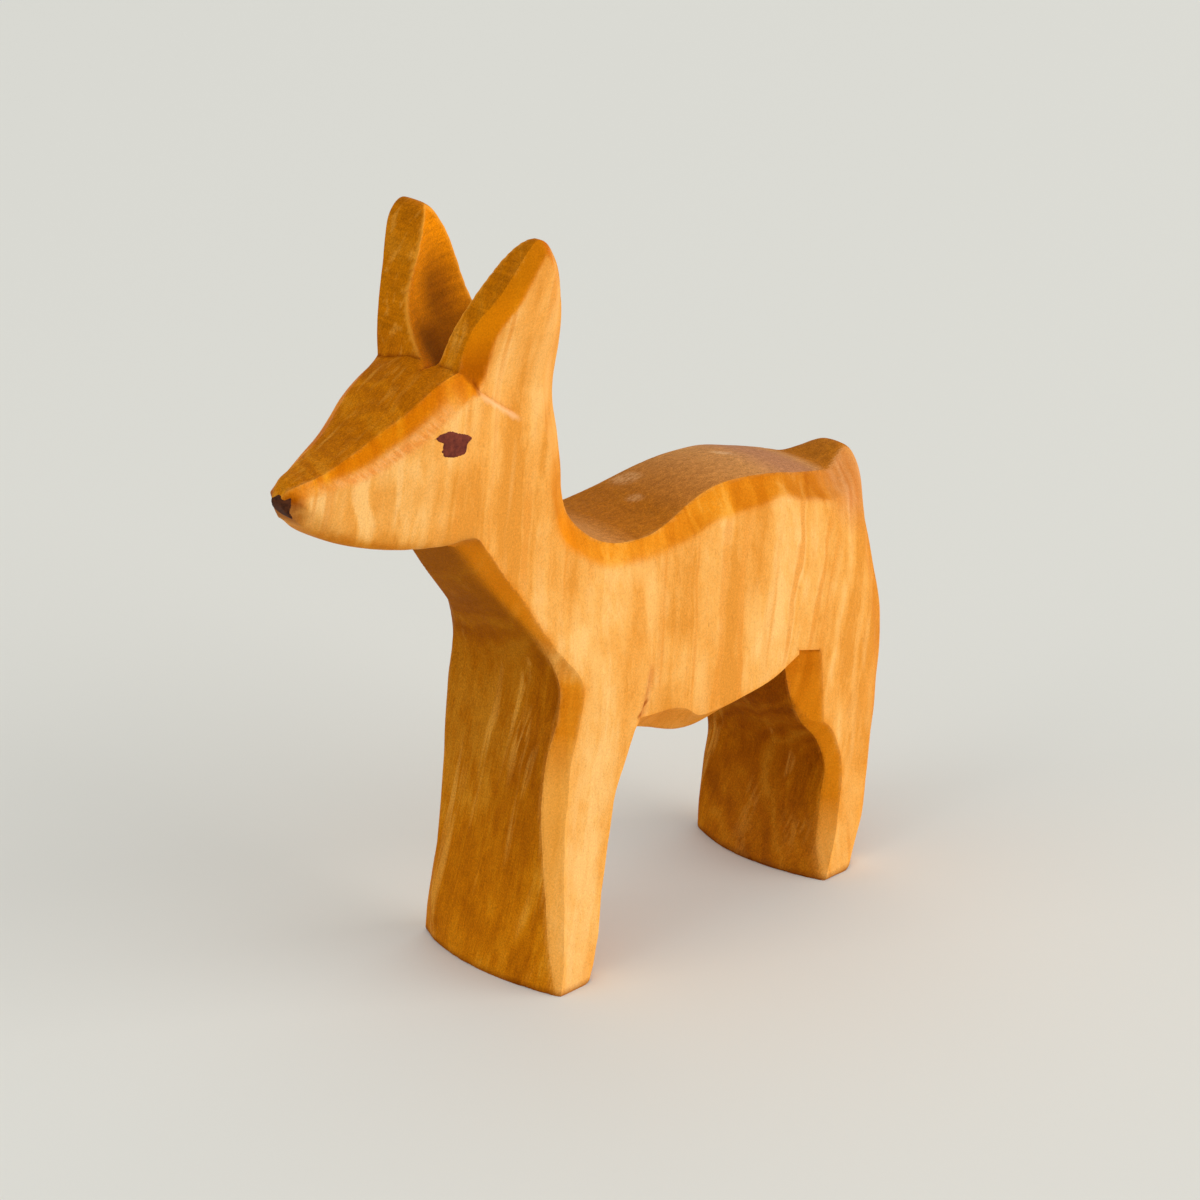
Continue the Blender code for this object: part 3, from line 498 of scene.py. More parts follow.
def edges_of(quads):
    """Every edge between two faces: its two points and its two faces."""
    pairs = np.sort(np.stack([quads, np.roll(quads, -1, axis=1)], axis=2).reshape(-1, 2), axis=1)
    face = np.repeat(np.arange(len(quads)), 4)
    order = np.lexsort((pairs[:, 1], pairs[:, 0]))
    pairs, face = pairs[order], face[order]
    same = np.all(pairs[1:] == pairs[:-1], axis=1)
    first = np.flatnonzero(same & ~np.concatenate([[False], same[:-1]]))
    return pairs[first], np.stack([face[first], face[first + 1]], axis=1)


def bends(verts, quads, edge, face):
    """Angle across every edge, positive where the surface is convex."""
    a, b, c, d = (verts[quads[:, k]] for k in range(4))
    normal = np.cross(c - a, d - b)
    normal /= np.maximum(np.linalg.norm(normal, axis=1, keepdims=True), 1e-12)
    centre = (a + b + c + d) / 4
    n0, n1 = normal[face[:, 0]], normal[face[:, 1]]
    angle = np.arccos(np.clip((n0 * n1).sum(1), -1, 1))
    return angle * np.where(((centre[face[:, 1]] - centre[face[:, 0]]) * n0).sum(1) < 0, 1, -1)


def ease(verts, quads):
    """Straighten the knife edges along their own length; soften the jaw, the throat, the heels, the tail and two far corners."""
    edge, face = edges_of(quads)
    sharp = edge[np.abs(bends(verts, quads, edge, face)) > math.radians(22)]
    number = np.bincount(sharp.ravel(), minlength=len(verts))
    ends = np.vstack([sharp, sharp[:, ::-1]])
    ends = ends[number[ends[:, 0]] == 2]
    for rate in (0.5, -0.52) * 5 + (0.4,):
        total = np.zeros_like(verts)
        np.add.at(total, ends[:, 0], verts[ends[:, 1]])
        verts = np.where((number == 2)[:, None], verts + rate * (total / 2 - verts), verts)
    both = np.vstack([edge, edge[:, ::-1]])
    around = np.bincount(both[:, 0], minlength=len(verts))[:, None]
    for _ in range(14):
        x, y, z = verts.T
        soft = smoothstep(-8.5, -11.5, x) * smoothstep(79.5, 76.0, z) * smoothstep(-35.2, -33.5, x)
        for heel in (10.5, 64.9):
            soft = np.maximum(soft, smoothstep(4.4, 1.8, np.hypot(x - heel, z - SOLE)))
        soft = np.maximum(soft, 0.85 * smoothstep(7.5, 4.0, np.hypot(x - 71.5, z - 56.0)))
        soft = np.maximum(soft, 0.9 * smoothstep(4.6, 1.8, np.sqrt((x + 0.8) ** 2 + (y - 7.4) ** 2 + (z - 110.2) ** 2)))
        for kx, kz in ((52.6, 33.2), (56.0, 22.0)):
            soft = np.maximum(soft, 0.8 * smoothstep(3.6, 1.6, np.hypot(x - kx, z - kz)) * smoothstep(7.5, 9.0, y))
        throat = np.abs((x + 9.3) * 0.819 + (z - 67.5) * 0.574)
        soft = np.maximum(soft, 0.18 * smoothstep(3.6, 1.6, throat) * smoothstep(46.0, 51.0, z) * smoothstep(68.0, 66.0, z))
        total = np.zeros_like(verts)
        np.add.at(total, both[:, 0], verts[both[:, 1]])
        verts = verts + (0.5 * soft)[:, None] * (total / np.maximum(around, 1) - verts)
    verts[:, 2] = np.maximum(verts[:, 2], SOLE)
    return verts


LOWS = (-40.0, -17.0, SOLE - 1.25)
verts, quads = surface(field, LOWS, (236, 69, 229), CELL)
verts = ease(verts, quads)
wood_body = add_piece("carved_wood", verts, quads)


def put_values(ob, domain, name, values):
    ob.data.attributes.new(name, "FLOAT", domain).data.foreach_set("value", np.asarray(values, np.float32))


# which cut made each face: crisp between sawn and pared wood, softer between bevel and side
n_faces = len(wood_body.data.polygons)
centre, normal = np.empty(3 * n_faces), np.empty(3 * n_faces)
wood_body.data.polygons.foreach_get("center", centre)
wood_body.data.polygons.foreach_get("normal", normal)
centre, normal = centre.reshape(-1, 3) / MM + np.array([MID_X, 0, SOLE]), normal.reshape(-1, 3)
past = faces_of(centre)
blur = 0.1 + 0.05 * smoothstep(46.0, 52.0, centre[:, 2]) * smoothstep(69.0, 66.0, centre[:, 2]) * smoothstep(9.0, 5.0, centre[:, 0])
sawn, pared, _, gap, _ = shares(np.stack([past[0], np.maximum(past[1], past[2]), past[3], past[4], past[5]]), blur)
far_front = (centre[:, 1] > 0) * smoothstep(-0.1, -0.3, normal[:, 0]) * smoothstep(69.0, 50.0, centre[:, 2])
sawn = sawn + far_front * pared
under_jaw = (centre[:, 0] < -8.5) & (normal[:, 2] < -0.1) & (centre[:, 2] < 79)
sawn = np.where(under_jaw, 0, sawn)
put_values(wood_body, "FACE", "sawn", sawn)
put_values(wood_body, "FACE", "hollow", gap)
put_values(wood_body, "FACE", "slant", np.abs(normal[:, 2]))
put_values(wood_body, "FACE", "end_grain", np.clip(np.where(normal[:, 2] > 0, 1.0, -0.5) * normal[:, 2] * 1.25 - 0.25, 0, 1))
x, y, z = verts.T
past = faces_of(verts)
blur = 0.12 + 0.12 * smoothstep(40.0, 50.0, z) * smoothstep(70.0, 64.0, z) * smoothstep(10.0, 4.0, x) - 0.06 * smoothstep(75.0, 80.0, z)
first, second, _, thigh = shares(np.stack([past[1], past[2], past[3], past[5]]), blur)
double = flat.at(x, z, y)[7]
first, second = first + (1 - double) * second + thigh, double * second
plain_bevel = (1 - smoothstep(-8.0, -10.0, x) * smoothstep(80.0, 78.5, z)) * smoothstep(5.0, 10.0, np.hypot(x - 71.0, z - 55.5))
plain_bevel = plain_bevel * (1 - 0.9 * smoothstep(1.0, 2.6, x) * smoothstep(63.0, 81.0, z))
plain_bevel = plain_bevel * (1 - 0.6 * smoothstep(66.0, 69.0, x) * smoothstep(52.0, 46.0, z))
plain_bevel = plain_bevel * (1 - 0.4 * smoothstep(43.0, 46.0, z) * smoothstep(52.0, 49.0, z) * smoothstep(9.0, 7.0, x))
plain_bevel = plain_bevel * (1 - 0.45 * smoothstep(9.0, 5.0, np.hypot(x - 28.0, z - 30.5)))
put_values(wood_body, "POINT", "bevel", first * plain_bevel)
put_values(wood_body, "POINT", "second_bevel", second * plain_bevel)
# the bevel down the front of each ear ends on the line where it meets the brow
brow = smoothstep(-0.12, 0.12, 0.866 * (x + 10.6) + 0.5 * (z - 92.7))
corner = smoothstep(-0.12, 0.12, 0.382 * (z - 92.3) - 0.924 * (x + 7.5)) * (z < 92.7)
put_values(wood_body, "POINT", "ear_bevel", brow * np.maximum(first * smoothstep(1.0, -0.2, x) * smoothstep(90.5, 92.0, z), corner))
# how far back in the hollow between the ears, and how far down: this places the painted shade in the hollow
rows = np.array(EAR_GAP)
front, behind = (np.interp(z, rows[:, 0], rows[:, k]) for k in (1, 2))
back_in = (x - front) / np.maximum(behind - front, 6.0)
put_values(wood_body, "POINT", "deep", np.maximum(smoothstep(0.18, 0.55, back_in) * smoothstep(108.0, 98.0, z) * (1 - 0.5 * smoothstep(0.65, 1.0, back_in)),
                                                          smoothstep(98.5, 93.5, z) * smoothstep(0.02, 0.22, back_in)))
# the ledge behind the cheek, on the left: its pale colour is partly wear and partly a painted highlight
(ax, az), (bx, bz) = EAR_STEP[1:3]
length = math.hypot(bx - ax, bz - az)
u = ((x - ax) * (bx - ax) + (z - az) * (bz - az)) / length ** 2
over = ((z - az) * (bx - ax) - (x - ax) * (bz - az)) / length
put_values(wood_body, "POINT", "ledge_light_and_wear", smoothstep(-0.3, 0.05, over) * smoothstep(0.7, 0.3, over) * smoothstep(-0.05, 0.15, u) * smoothstep(1.02, 0.75, u) * (y < 0))
# the rounded ridge of each ear, where a painted highlight goes
put_values(wood_body, "POINT", "ridge_highlight", smoothstep(0.9, 0.15, np.abs(past[0] - past[4])) * smoothstep(-0.7, -0.3, past[4]) * smoothstep(92.5, 95.0, z))
# paler and darker patches seen from the side, partly grain in the wood and partly painted light and shade, such as
# painted shade under the jaw and throat and painted light on the chest bevel: from x, to x at the middle, from z, to z,
# softness, tone, lean
GRAIN_AND_SHADE_PATCHES = [
    (-28.4, -26.0, 71.5, 82.0, 0.7, 0.24, 0.0), (-22.3, -18.4, 71.0, 83.8, 0.8, 0.11, 0.0), (-34.4, -31.8, 77.6, 81.0, 1.2, 0.18, 0.0),
    (9.5, 16.0, 49.5, 59.0, 3.0, 0.07, 0.2), (8.6, 12.6, 12.0, 47.0, 1.6, 0.07, 0.12),
    (41.0, 44.0, 33.0, 47.0, 1.0, 0.08, 0.25), (47.2, 50.6, 40.0, 55.0, 1.0, 0.08, 0.22),
    (-0.9, 4.0, 80.0, 88.0, 0.4, 0.11, 0.0), (-0.9, 4.0, 60.0, 80.0, 1.4, 0.03, 0.0), (-16.5, -11.0, 73.5, 80.5, 2.5, -0.07, 0.0), (4.0, 9.5, 43.0, 51.0, 1.5, 0.10, 0.0), (-9.0, -3.0, 76.0, 83.0, 2.5, 0.07, 0.0), (-0.5, 4.5, 99.0, 106.0, 2.0, 0.05, 0.0), (2.0, 7.0, 87.0, 96.0, 1.5, -0.08, 0.0), (2.8, 7.5, 68.0, 84.0, 1.2, -0.08, 0.0), (-31.0, -22.0, 70.0, 73.6, 1.5, -0.10, 0.0), (-7.0, -3.0, 94.0, 99.5, 2.5, -0.05, 0.0), (59.0, 61.6, 16.0, 33.0, 1.2, 0.09, 0.08),
    (-26.0, -22.5, 70.0, 80.0, 0.9, -0.09, 0.0), (-17.5, -8.5, 66.0, 80.0, 3.0, -0.05, 0.0),
    (-4.5, -0.9, 64.0, 86.0, 1.4, -0.06, 0.0), (36.9, 39.6, 32.0, 55.0, 1.0, -0.09, 0.14),
    (29.2, 31.6, 44.0, 54.0, 1.0, -0.08, 0.2), (-36.2, -34.4, 76.5, 80.0, 0.8, -0.13, 0.0),
    (63.0, 74.0, 2.0, 52.0, 3.0, -0.06, 0.0), (-24.0, -11.0, 66.0, 72.6, 2.0, -0.10, 0.0), (67.0, 74.0, 30.0, 50.0, 3.0, -0.06, 0.0),
    (22.0, 40.0, 28.0, 38.5, 1.5, -0.08, 0.0), (53.5, 60.0, 40.0, 57.0, 3.0, 0.05, 0.0),
]
tone = np.zeros(len(verts))
for x0, x1, z0, z1, soft, much, lean in GRAIN_AND_SHADE_PATCHES:
    along = z - (z0 + z1) / 2
    off = np.abs(x - (x0 + x1) / 2 - lean * along + 0.35 * np.sin(z / 2.7 + x0) + 0.2 * np.sin(z / 1.1 + x1))
    tone += much * smoothstep((x1 - x0) / 2 + soft / 2, (x1 - x0) / 2 - soft / 2, off) * smoothstep((z1 - z0) / 2 + 1.5, (z1 - z0) / 2 - 1.5, np.abs(along))
a, b, c, d = (verts[quads[:, k]] for k in range(4))
facing = np.zeros_like(verts)
for k in range(4):
    np.add.at(facing, quads[:, k], np.cross(c - a, d - b))
facing = np.abs(facing[:, 1]) / np.maximum(np.linalg.norm(facing, axis=1), 1e-9)
tone = tone * (1 - smoothstep(-20.0, -24.0, x) * (1 - smoothstep(0.35, 0.8, facing) * np.where(y > 0, 0.45, 1.0)))
put_values(wood_body, "POINT", "grain_and_shade_tone", tone)
# pale scuffs on the back: x, y, half length, half width, strength
scuff = np.zeros(len(verts))
for sx, sy, long, broad, much in ((51.2, 1.1, 2.0, 0.9, 0.75), (35.2, 5.0, 2.4, 2.2, 0.4), (31.3, -0.4, 1.4, 1.1, 0.4)):
    u, v = 0.69 * (x - sx) - 0.72 * (y - sy), 0.72 * (x - sx) + 0.69 * (y - sy)
    scuff = np.maximum(scuff, much * smoothstep(1.2, 0.5, np.hypot(u / long, v / broad)) * (z > 50))
put_values(wood_body, "POINT", "scuff", scuff)
rows = np.array(ELBOW)
over = x - np.interp(z, rows[:, 1], rows[:, 0])
put_values(wood_body, "POINT", "fold", smoothstep(-0.3, 0.2, over) * smoothstep(2.4, 0.8, over) * smoothstep(34.0, 35.5, z) * smoothstep(43.5, 40.5, z) * (y < 0) * smoothstep(0.5, 0.8, facing))
edge, face = edges_of(quads)
bend = bends(verts, quads, edge, face)
for label, turned in (("worn", bend), ("crease", -bend)):
    most = np.zeros(len(verts))
    for side in (0, 1):
        np.maximum.at(most, edge[:, side], smoothstep(math.radians(18), math.radians(55), turned))
    put_values(wood_body, "POINT", label, most)
wood_body.data.set_sharp_from_angle(angle=math.radians(26))


# ------------------------------------------------------------------ paint marks
# outline of the painted eye about its middle (x, z) on the side face
EYE_AT = (-13.6, 83.7)
EYE_MARK = [(-3.45, 1.40), (-2.65, 1.65), (-2.15, 1.95), (-1.15, 2.02), (-0.65, 2.1), (0.05, 1.95), (0.9, 1.46),
            (1.75, 1.18), (2.65, 0.8), (3.2, 0.45), (3.48, 0.1), (3.2, -0.18), (2.7, -0.42), (2.52, -0.68),
            (2.42, -1.2), (2.3, -1.6), (2.02, -1.88), (1.3, -1.92), (0.58, -1.9), (0.04, -1.9), (-0.8, -1.66),
            (-1.45, -1.48), (-1.8, -1.25), (-1.8, -0.88), (-2.2, -0.5), (-1.8, -0.22), (-1.85, 0.12), (-1.65, 0.5),
            (-2.2, 0.75), (-2.6, 1.06), (-2.75, 1.3)]
# outline of the painted nose (y, z) seen from the front
NOSE_MARK = [(1.35, 79.4), (1.0, 79.95), (0.45, 80.2), (0.1, 80.55), (-0.25, 80.68), (-0.55, 80.55), (-0.75, 80.3),
             (-1.05, 80.08), (-1.35, 80.05), (-1.6, 80.35), (-1.85, 80.3), (-1.95, 80.0), (-1.92, 79.4),
             (-1.75, 78.9), (-1.58, 78.6), (-1.5, 78.1), (-1.6, 77.6), (-1.68, 77.1), (-1.2, 77.0), (-0.5, 77.15),
             (0.1, 77.3), (0.6, 77.55), (1.1, 78.0), (1.35, 78.6)]


def paint_mark(name, outline, place, seed):
    """Closed thin film of paint; place turns outline coordinates into points on the carved surface."""
    rng = np.random.default_rng(seed)
    closed = np.vstack([outline, outline[:1]])
    along = np.concatenate([[0], np.cumsum(np.linalg.norm(np.diff(closed, axis=0), axis=1))])
    at = np.linspace(0, along[-1], int(along[-1] / 0.12), endpoint=False)
    edge = np.stack([np.interp(at, along, closed[:, k]) for k in (0, 1)], axis=1)
    edge = (np.roll(edge, 1, 0) + 2 * edge + np.roll(edge, -1, 0)) / 4 + rng.normal(0, 0.022, edge.shape)
    low, high = edge.min(0), edge.max(0)
    gu, gv = np.meshgrid(np.arange(low[0], high[0], 0.16), np.arange(low[1], high[1], 0.16), indexing="ij")
    inner = np.stack([gu.ravel(), gv.ravel()], axis=1) + rng.normal(0, 0.02, (gu.size, 2))
    inner = inner[np.min(np.linalg.norm(inner[:, None] - edge[None], axis=2), axis=1) > 0.1]
    flat_points = [Vector(p) for p in np.vstack([edge, inner])]
    ring = list(range(len(edge)))
    points, _, faces, _, _, _ = delaunay_2d_cdt(flat_points, [], [ring], 1, 1e-6)
    uv = np.array([tuple(p) for p in points])
    from_edge = np.min(np.linalg.norm(uv[:, None] - edge[None], axis=2), axis=1)
    on, out = place(uv)
    top = on + out * (-0.03 + 0.10 * smoothstep(0.0, 0.25, from_edge))[:, None]
    under = on - out * 0.2
    count = len(uv)
    tris = [tuple(f) for f in faces]
    once = {}
    for f in tris:
        for a, b in zip(f, f[1:] + f[:1]):
            once[(a, b)] = once.get((a, b), 0) + 1
    rim = [e for e in once if (e[1], e[0]) not in once]
    solid = tris + [tuple(i + count for i in reversed(f)) for f in tris]
    solid += [(b, a, a + count, b + count) for a, b in rim]
    mesh = bpy.data.meshes.new(name)
    mesh.from_pydata(to_row(np.vstack([top, under])).tolist(), [], solid)
    mesh.validate()
    bm = bmesh.new()
    bm.from_mesh(mesh)
    bmesh.ops.recalc_face_normals(bm, faces=bm.faces[:])
    bm.to_mesh(mesh)
    bm.free()
    mesh.shade_smooth()
    ob = bpy.data.objects.new(name, mesh)
    bpy.context.scene.collection.objects.link(ob)
    return ob


def onto_surface(start, step):
    """Walk from start along step (unit) to the carved surface; returns points and outward normals."""
    far, near = np.zeros(len(start)), np.full(len(start), 9.0)
    for t in np.arange(0.0, 9.0, 0.25):
        hit = (field(start + step * t) < 0) & (near > 8.9)
        near = np.where(hit, t, near)
    far = near - 0.25
    for _ in range(12):
        mid = (far + near) / 2
        inside = field(start + step * mid[:, None] if np.ndim(mid) else start + step * mid) < 0
        near, far = np.where(inside, mid, near), np.where(inside, far, mid)
    p = start + step * ((far + near) / 2)[:, None]
    n = np.stack([field(p + d) - field(p - d) for d in 0.15 * np.eye(3)], axis=1)
    return p, n / np.linalg.norm(n, axis=1, keepdims=True)


def eye_place(sign):
    def place(uv):
        start = np.stack([uv[:, 0] + EYE_AT[0], np.full(len(uv), 15.0 * sign), uv[:, 1] + EYE_AT[1]], axis=1)
        return onto_surface(start, np.array([0.0, -sign, 0.0]))
    return place


def nose_place(uv):
    start = np.stack([np.full(len(uv), -41.0), uv[:, 0], uv[:, 1]], axis=1)
    return onto_surface(start, np.array([1.0, 0.0, 0.0]))


eye_mark = np.array(EYE_MARK)
marks = {
    "eye_left": paint_mark("eye_paint_left", eye_mark, eye_place(-1), 3),
    "eye_right": paint_mark("eye_paint_right", eye_mark * np.array([1.0, 0.96]), eye_place(1), 4),
    "nose_tip": paint_mark("nose_paint", np.array(NOSE_MARK), nose_place, 5),
}


# ------------------------------------------------------------------ materials
class Nodes:
    """Short calls for building one node material; inputs are sockets or plain values."""

    def __init__(self, name):
        self.material = bpy.data.materials.new(name)
        self.material.use_nodes = True
        self.tree = self.material.node_tree
        self.shader = self.tree.nodes["Principled BSDF"]

    def add(self, kind, values=None, out=0, **settings):
        node = self.tree.nodes.new(kind)
        for key, value in settings.items():
            setattr(node, key, value)
        for key, value in (values or {}).items():
            self.put(node.inputs[key], value)
        return node.outputs[out]

    def put(self, socket, value):
        if isinstance(value, bpy.types.NodeSocket):
            self.tree.links.new(value, socket)
        else:
            socket.default_value = value

    def millimetres(self, scale=(1.0, 1.0, 1.0), turn=(0.0, 0.0, 0.0), shift=(0.0, 0.0, 0.0)):
        where = self.add("ShaderNodeTexCoord", out="Object")
        return self.add("ShaderNodeMapping", {"Vector": where, "Scale": tuple(1000.0 * s for s in scale),
                                              "Rotation": turn, "Location": shift})

    def noise(self, vector, detail=2.0, rough=0.5, warp=0.0, scale=1.0):
        return self.add("ShaderNodeTexNoise", {"Vector": vector, "Scale": scale, "Detail": detail,
                                               "Roughness": rough, "Distortion": warp}, out="Fac")

    def math(self, operation, *values):
        return self.add("ShaderNodeMath", dict(enumerate(values)), operation=operation)

    def mix(self, share, a, b, blend="MIX"):
        node = self.tree.nodes.new("ShaderNodeMix")
        node.data_type, node.blend_type = "RGBA", blend
        self.put(node.inputs[0], share)
        self.put(node.inputs[6], a)
        self.put(node.inputs[7], b)
        return node.outputs[2]

    def ramp(self, value, stops):
        node = self.tree.nodes.new("ShaderNodeValToRGB")
        self.tree.links.new(value, node.inputs[0])
        line = node.color_ramp
        while len(line.elements) < len(stops):
            line.elements.new(0.5)
        for element, (at, colour) in zip(line.elements, stops):
            element.position = at
            element.color = (*colour, 1.0) if len(colour) == 3 else colour
        return node.outputs["Color"]

    def span(self, value, a, b, c=0.0, d=1.0):
        return self.add("ShaderNodeMapRange", {"Value": value, "From Min": a, "From Max": b, "To Min": c, "To Max": d})

    def face(self, name):
        return self.add("ShaderNodeAttribute", out="Fac", attribute_name=name)


def wood_material():
    n = Nodes("oiled_wood")
    sawn, hollow, end, slant = (n.face(k) for k in ("sawn", "hollow", "end_grain", "slant"))
    bevel, second, deep, worn, crease = (n.face(k) for k in ("bevel", "second_bevel", "deep", "worn", "crease"))
    grain_and_shade_tone, ridge_highlight, ledge_light_and_wear, ear_bevel, scuff, fold = (n.face(k) for k in ("grain_and_shade_tone", "ridge_highlight", "ledge_light_and_wear", "ear_bevel", "scuff", "fold"))
    here = n.add("ShaderNodeTexCoord", out="Object")
    plain = n.add("ShaderNodeVectorMath", {0: here, 1: (1000.0, 1000.0, 1000.0)}, operation="MULTIPLY")
    # the grain leans a little to the left and to the back on its way up
    grain = n.add("ShaderNodeMapping", {"Vector": here, "Rotation": (0.17, 0.11, 0.0), "Scale": (MM, MM, MM)},
                  vector_type="TEXTURE")
    place = n.tree.nodes.new("ShaderNodeSeparateXYZ")
    n.tree.links.new(plain, place.inputs[0])
    px, py, pz = (place.outputs[k] for k in "XYZ")

    def stretched(base, scale, shift=(0.0, 0.0, 0.0)):
        return n.add("ShaderNodeVectorMath", {0: base, 1: scale, 2: shift}, operation="MULTIPLY_ADD")

    # growth rings about a far axis, wandering slowly along the grain
    rings = n.add("ShaderNodeVectorMath", {0: stretched(grain, (1.0, 1.0, 0.02)), 1: (-180.0, 75.0, 0.0)},
                  out="Value", operation="DISTANCE")
    slow = n.noise(stretched(grain, (0.032, 0.032, 0.013)), 1.0)
    quick = n.noise(stretched(grain, (0.2, 0.2, 0.05), (5.0, 3.0, 1.0)), 2.0)
    across = n.math("MULTIPLY_ADD", slow, 16.0, n.math("MULTIPLY_ADD", quick, 3.6, rings))
    wide = n.add("ShaderNodeTexNoise", {"W": across, "Scale": 0.15, "Detail": 1.0, "Roughness": 0.5}, out="Fac",
                 noise_dimensions="1D")
    band = n.add("ShaderNodeTexNoise", {"W": across, "Scale": 0.55, "Detail": 1.4, "Roughness": 0.5}, out="Fac",
                 noise_dimensions="1D")
    hair = n.noise(stretched(grain, (2.6, 2.6, 0.09)), 3.0, 0.6)
    cloud = n.noise(stretched(grain, (0.10, 0.10, 0.05), (3.0, 1.0, 5.0)), 2.0, 0.55)
    blot = n.noise(stretched(plain, (0.35, 0.35, 0.2), (9.0, 4.0, 2.0)), 3.0, 0.6)
    grit = n.noise(stretched(plain, (4.6, 4.6, 3.8)), 3.0, 0.75)

    def blend(*parts):
        total = 0.5 - 0.5 * sum(w for _, w in parts)
        for source, weight in parts:
            total = n.math("MULTIPLY_ADD", source, weight, total)
        return total

    def about(centre, inner, outer):
        """1 near a place seen from the side (x, z), 0 beyond."""
        gap = n.add("ShaderNodeVectorMath", {0: stretched(plain, (1.0, 0.0, 1.0)), 1: (centre[0] - MID_X, 0.0, centre[1] - SOLE)},
                    out="Value", operation="DISTANCE")
        return n.span(gap, outer, inner)

    # some parts of the block are paler or redder than others
    drift = n.math("MULTIPLY_ADD", about((-1.0, 72.0), 6.0, 20.0), -0.07, grain_and_shade_tone)
    drift = n.math("MULTIPLY_ADD", about((64.0, 22.0), 6.0, 22.0), -0.07, drift)
    drift = n.math("MULTIPLY_ADD", about((9.0, 18.0), 8.0, 24.0), 0.05, drift)
    side_tone = n.math("ADD", drift, blend((wide, 0.40), (cloud, 0.40), (band, 0.30), (hair, 0.16), (blot, 0.30)))
    cut_tone = blend((wide, 0.28), (cloud, 0.32), (band, 0.40), (hair, 0.26), (blot, 0.36))
    side = n.ramp(side_tone, [(0.34, (0.70, 0.270, 0.036)), (0.45, (0.79, 0.342, 0.064)),
                              (0.54, (0.83, 0.392, 0.090)), (0.67, (0.90, 0.49, 0.155))])
    cut = n.ramp(cut_tone, [(0.35, (0.42, 0.113, 0.0006)), (0.47, (0.555, 0.166, 0.0016)),
                            (0.55, (0.64, 0.212, 0.0035)), (0.68, (0.77, 0.31, 0.018))])
    pared = n.ramp(side_tone, [(0.34, (0.60, 0.165, 0.0030)), (0.46, (0.70, 0.214, 0.0065)),
                               (0.55, (0.77, 0.258, 0.011)), (0.68, (0.88, 0.37, 0.042))])
    # darker streaks that come and go along the rings, not on the front leg
    gate = n.noise(stretched(grain, (0.07, 0.07, 0.035), (1.0, 8.0, 2.0)), 1.0)
    streak = n.math("MULTIPLY", n.span(band, 0.50, 0.68), n.span(gate, 0.38, 0.56, 0.1, 0.75))
    streak = n.math("MULTIPLY", streak, n.math("MULTIPLY_ADD", about((8.0, 18.0), 16.0, 30.0), -0.8, 1.0))
    side = n.mix(streak, side, (0.72, 0.262, 0.032, 1.0))
    block = n.span(n.noise(stretched(grain, (0.19, 0.19, 0.028), (4.0, 2.0, 6.0)), 2.0, 0.55), 0.55, 0.68)
    side = n.mix(n.math("MULTIPLY", block, 0.4), side, (0.93, 0.53, 0.175, 1.0))

    # the knife left the lower legs pale, the sharper bevels take more oil
    behind = n.span(px, 12.0, 26.0)
    low_leg = n.math("MULTIPLY_ADD", n.math("SUBTRACT", n.span(pz, 11.0, 4.0), n.span(pz, 37.0, 29.0)), behind, n.span(pz, 37.0, 29.0))
    pared = n.mix(n.math("MULTIPLY", behind, n.span(pz, 32.0, 24.0, 0.0, 0.6)), pared, (0.78, 0.25, 0.006, 1.0))
    pared = n.mix(n.math("MULTIPLY", low_leg, 0.9), pared, n.mix(0.5, side, (0.98, 0.42, 0.055, 1.0)))
    head = n.span(pz, 74.0, 80.0)
    pared = n.mix(head, pared, n.mix(1.0, pared, (0.97, 0.83, 0.2, 1.0), "MULTIPLY"))
    throat = n.math("MULTIPLY", n.math("MULTIPLY", n.span(pz, 48.0, 53.0), n.span(pz, 69.0, 67.0)), n.span(px, -7.0, -10.0))
    pared = n.mix(n.math("MULTIPLY", throat, 0.7), pared, (0.83, 0.245, 0.004, 1.0))
    colour = n.mix(bevel, side, pared)
    along = n.add("ShaderNodeMapping", {"Vector": plain, "Rotation": (0.0, 0.62, 0.0)})
    scratch = n.span(n.noise(stretched(along, (2.0, 0.5, 0.34), (0.0, 2.0, 7.0)), 2.0, 0.6), 0.46, 0.62)
    dry = n.mix(n.math("MULTIPLY", scratch, 0.4), n.mix(0.65, side, (0.86, 0.285, 0.03, 1.0)), (0.92, 0.45, 0.18, 1.0))
    dry = n.mix(n.span(scratch, 0.35, 0.0, 0.0, 0.5), dry, (0.78, 0.25, 0.055, 1.0))
    colour = n.mix(second, colour, dry)
    # the bevel down the front of each ear is darker towards its top, and darker still at its foot
    ear_bevel_tones = n.mix(n.span(pz, 101.0, 106.0), (0.66, 0.196, 0.0012, 1.0), (0.50, 0.15, 0.001, 1.0))
    ear_bevel_tones = n.mix(n.span(pz, 98.5, 93.5), ear_bevel_tones, (0.40, 0.094, 0.0003, 1.0))
    colour = n.mix(ear_bevel, colour, n.mix(0.1, ear_bevel_tones, pared))
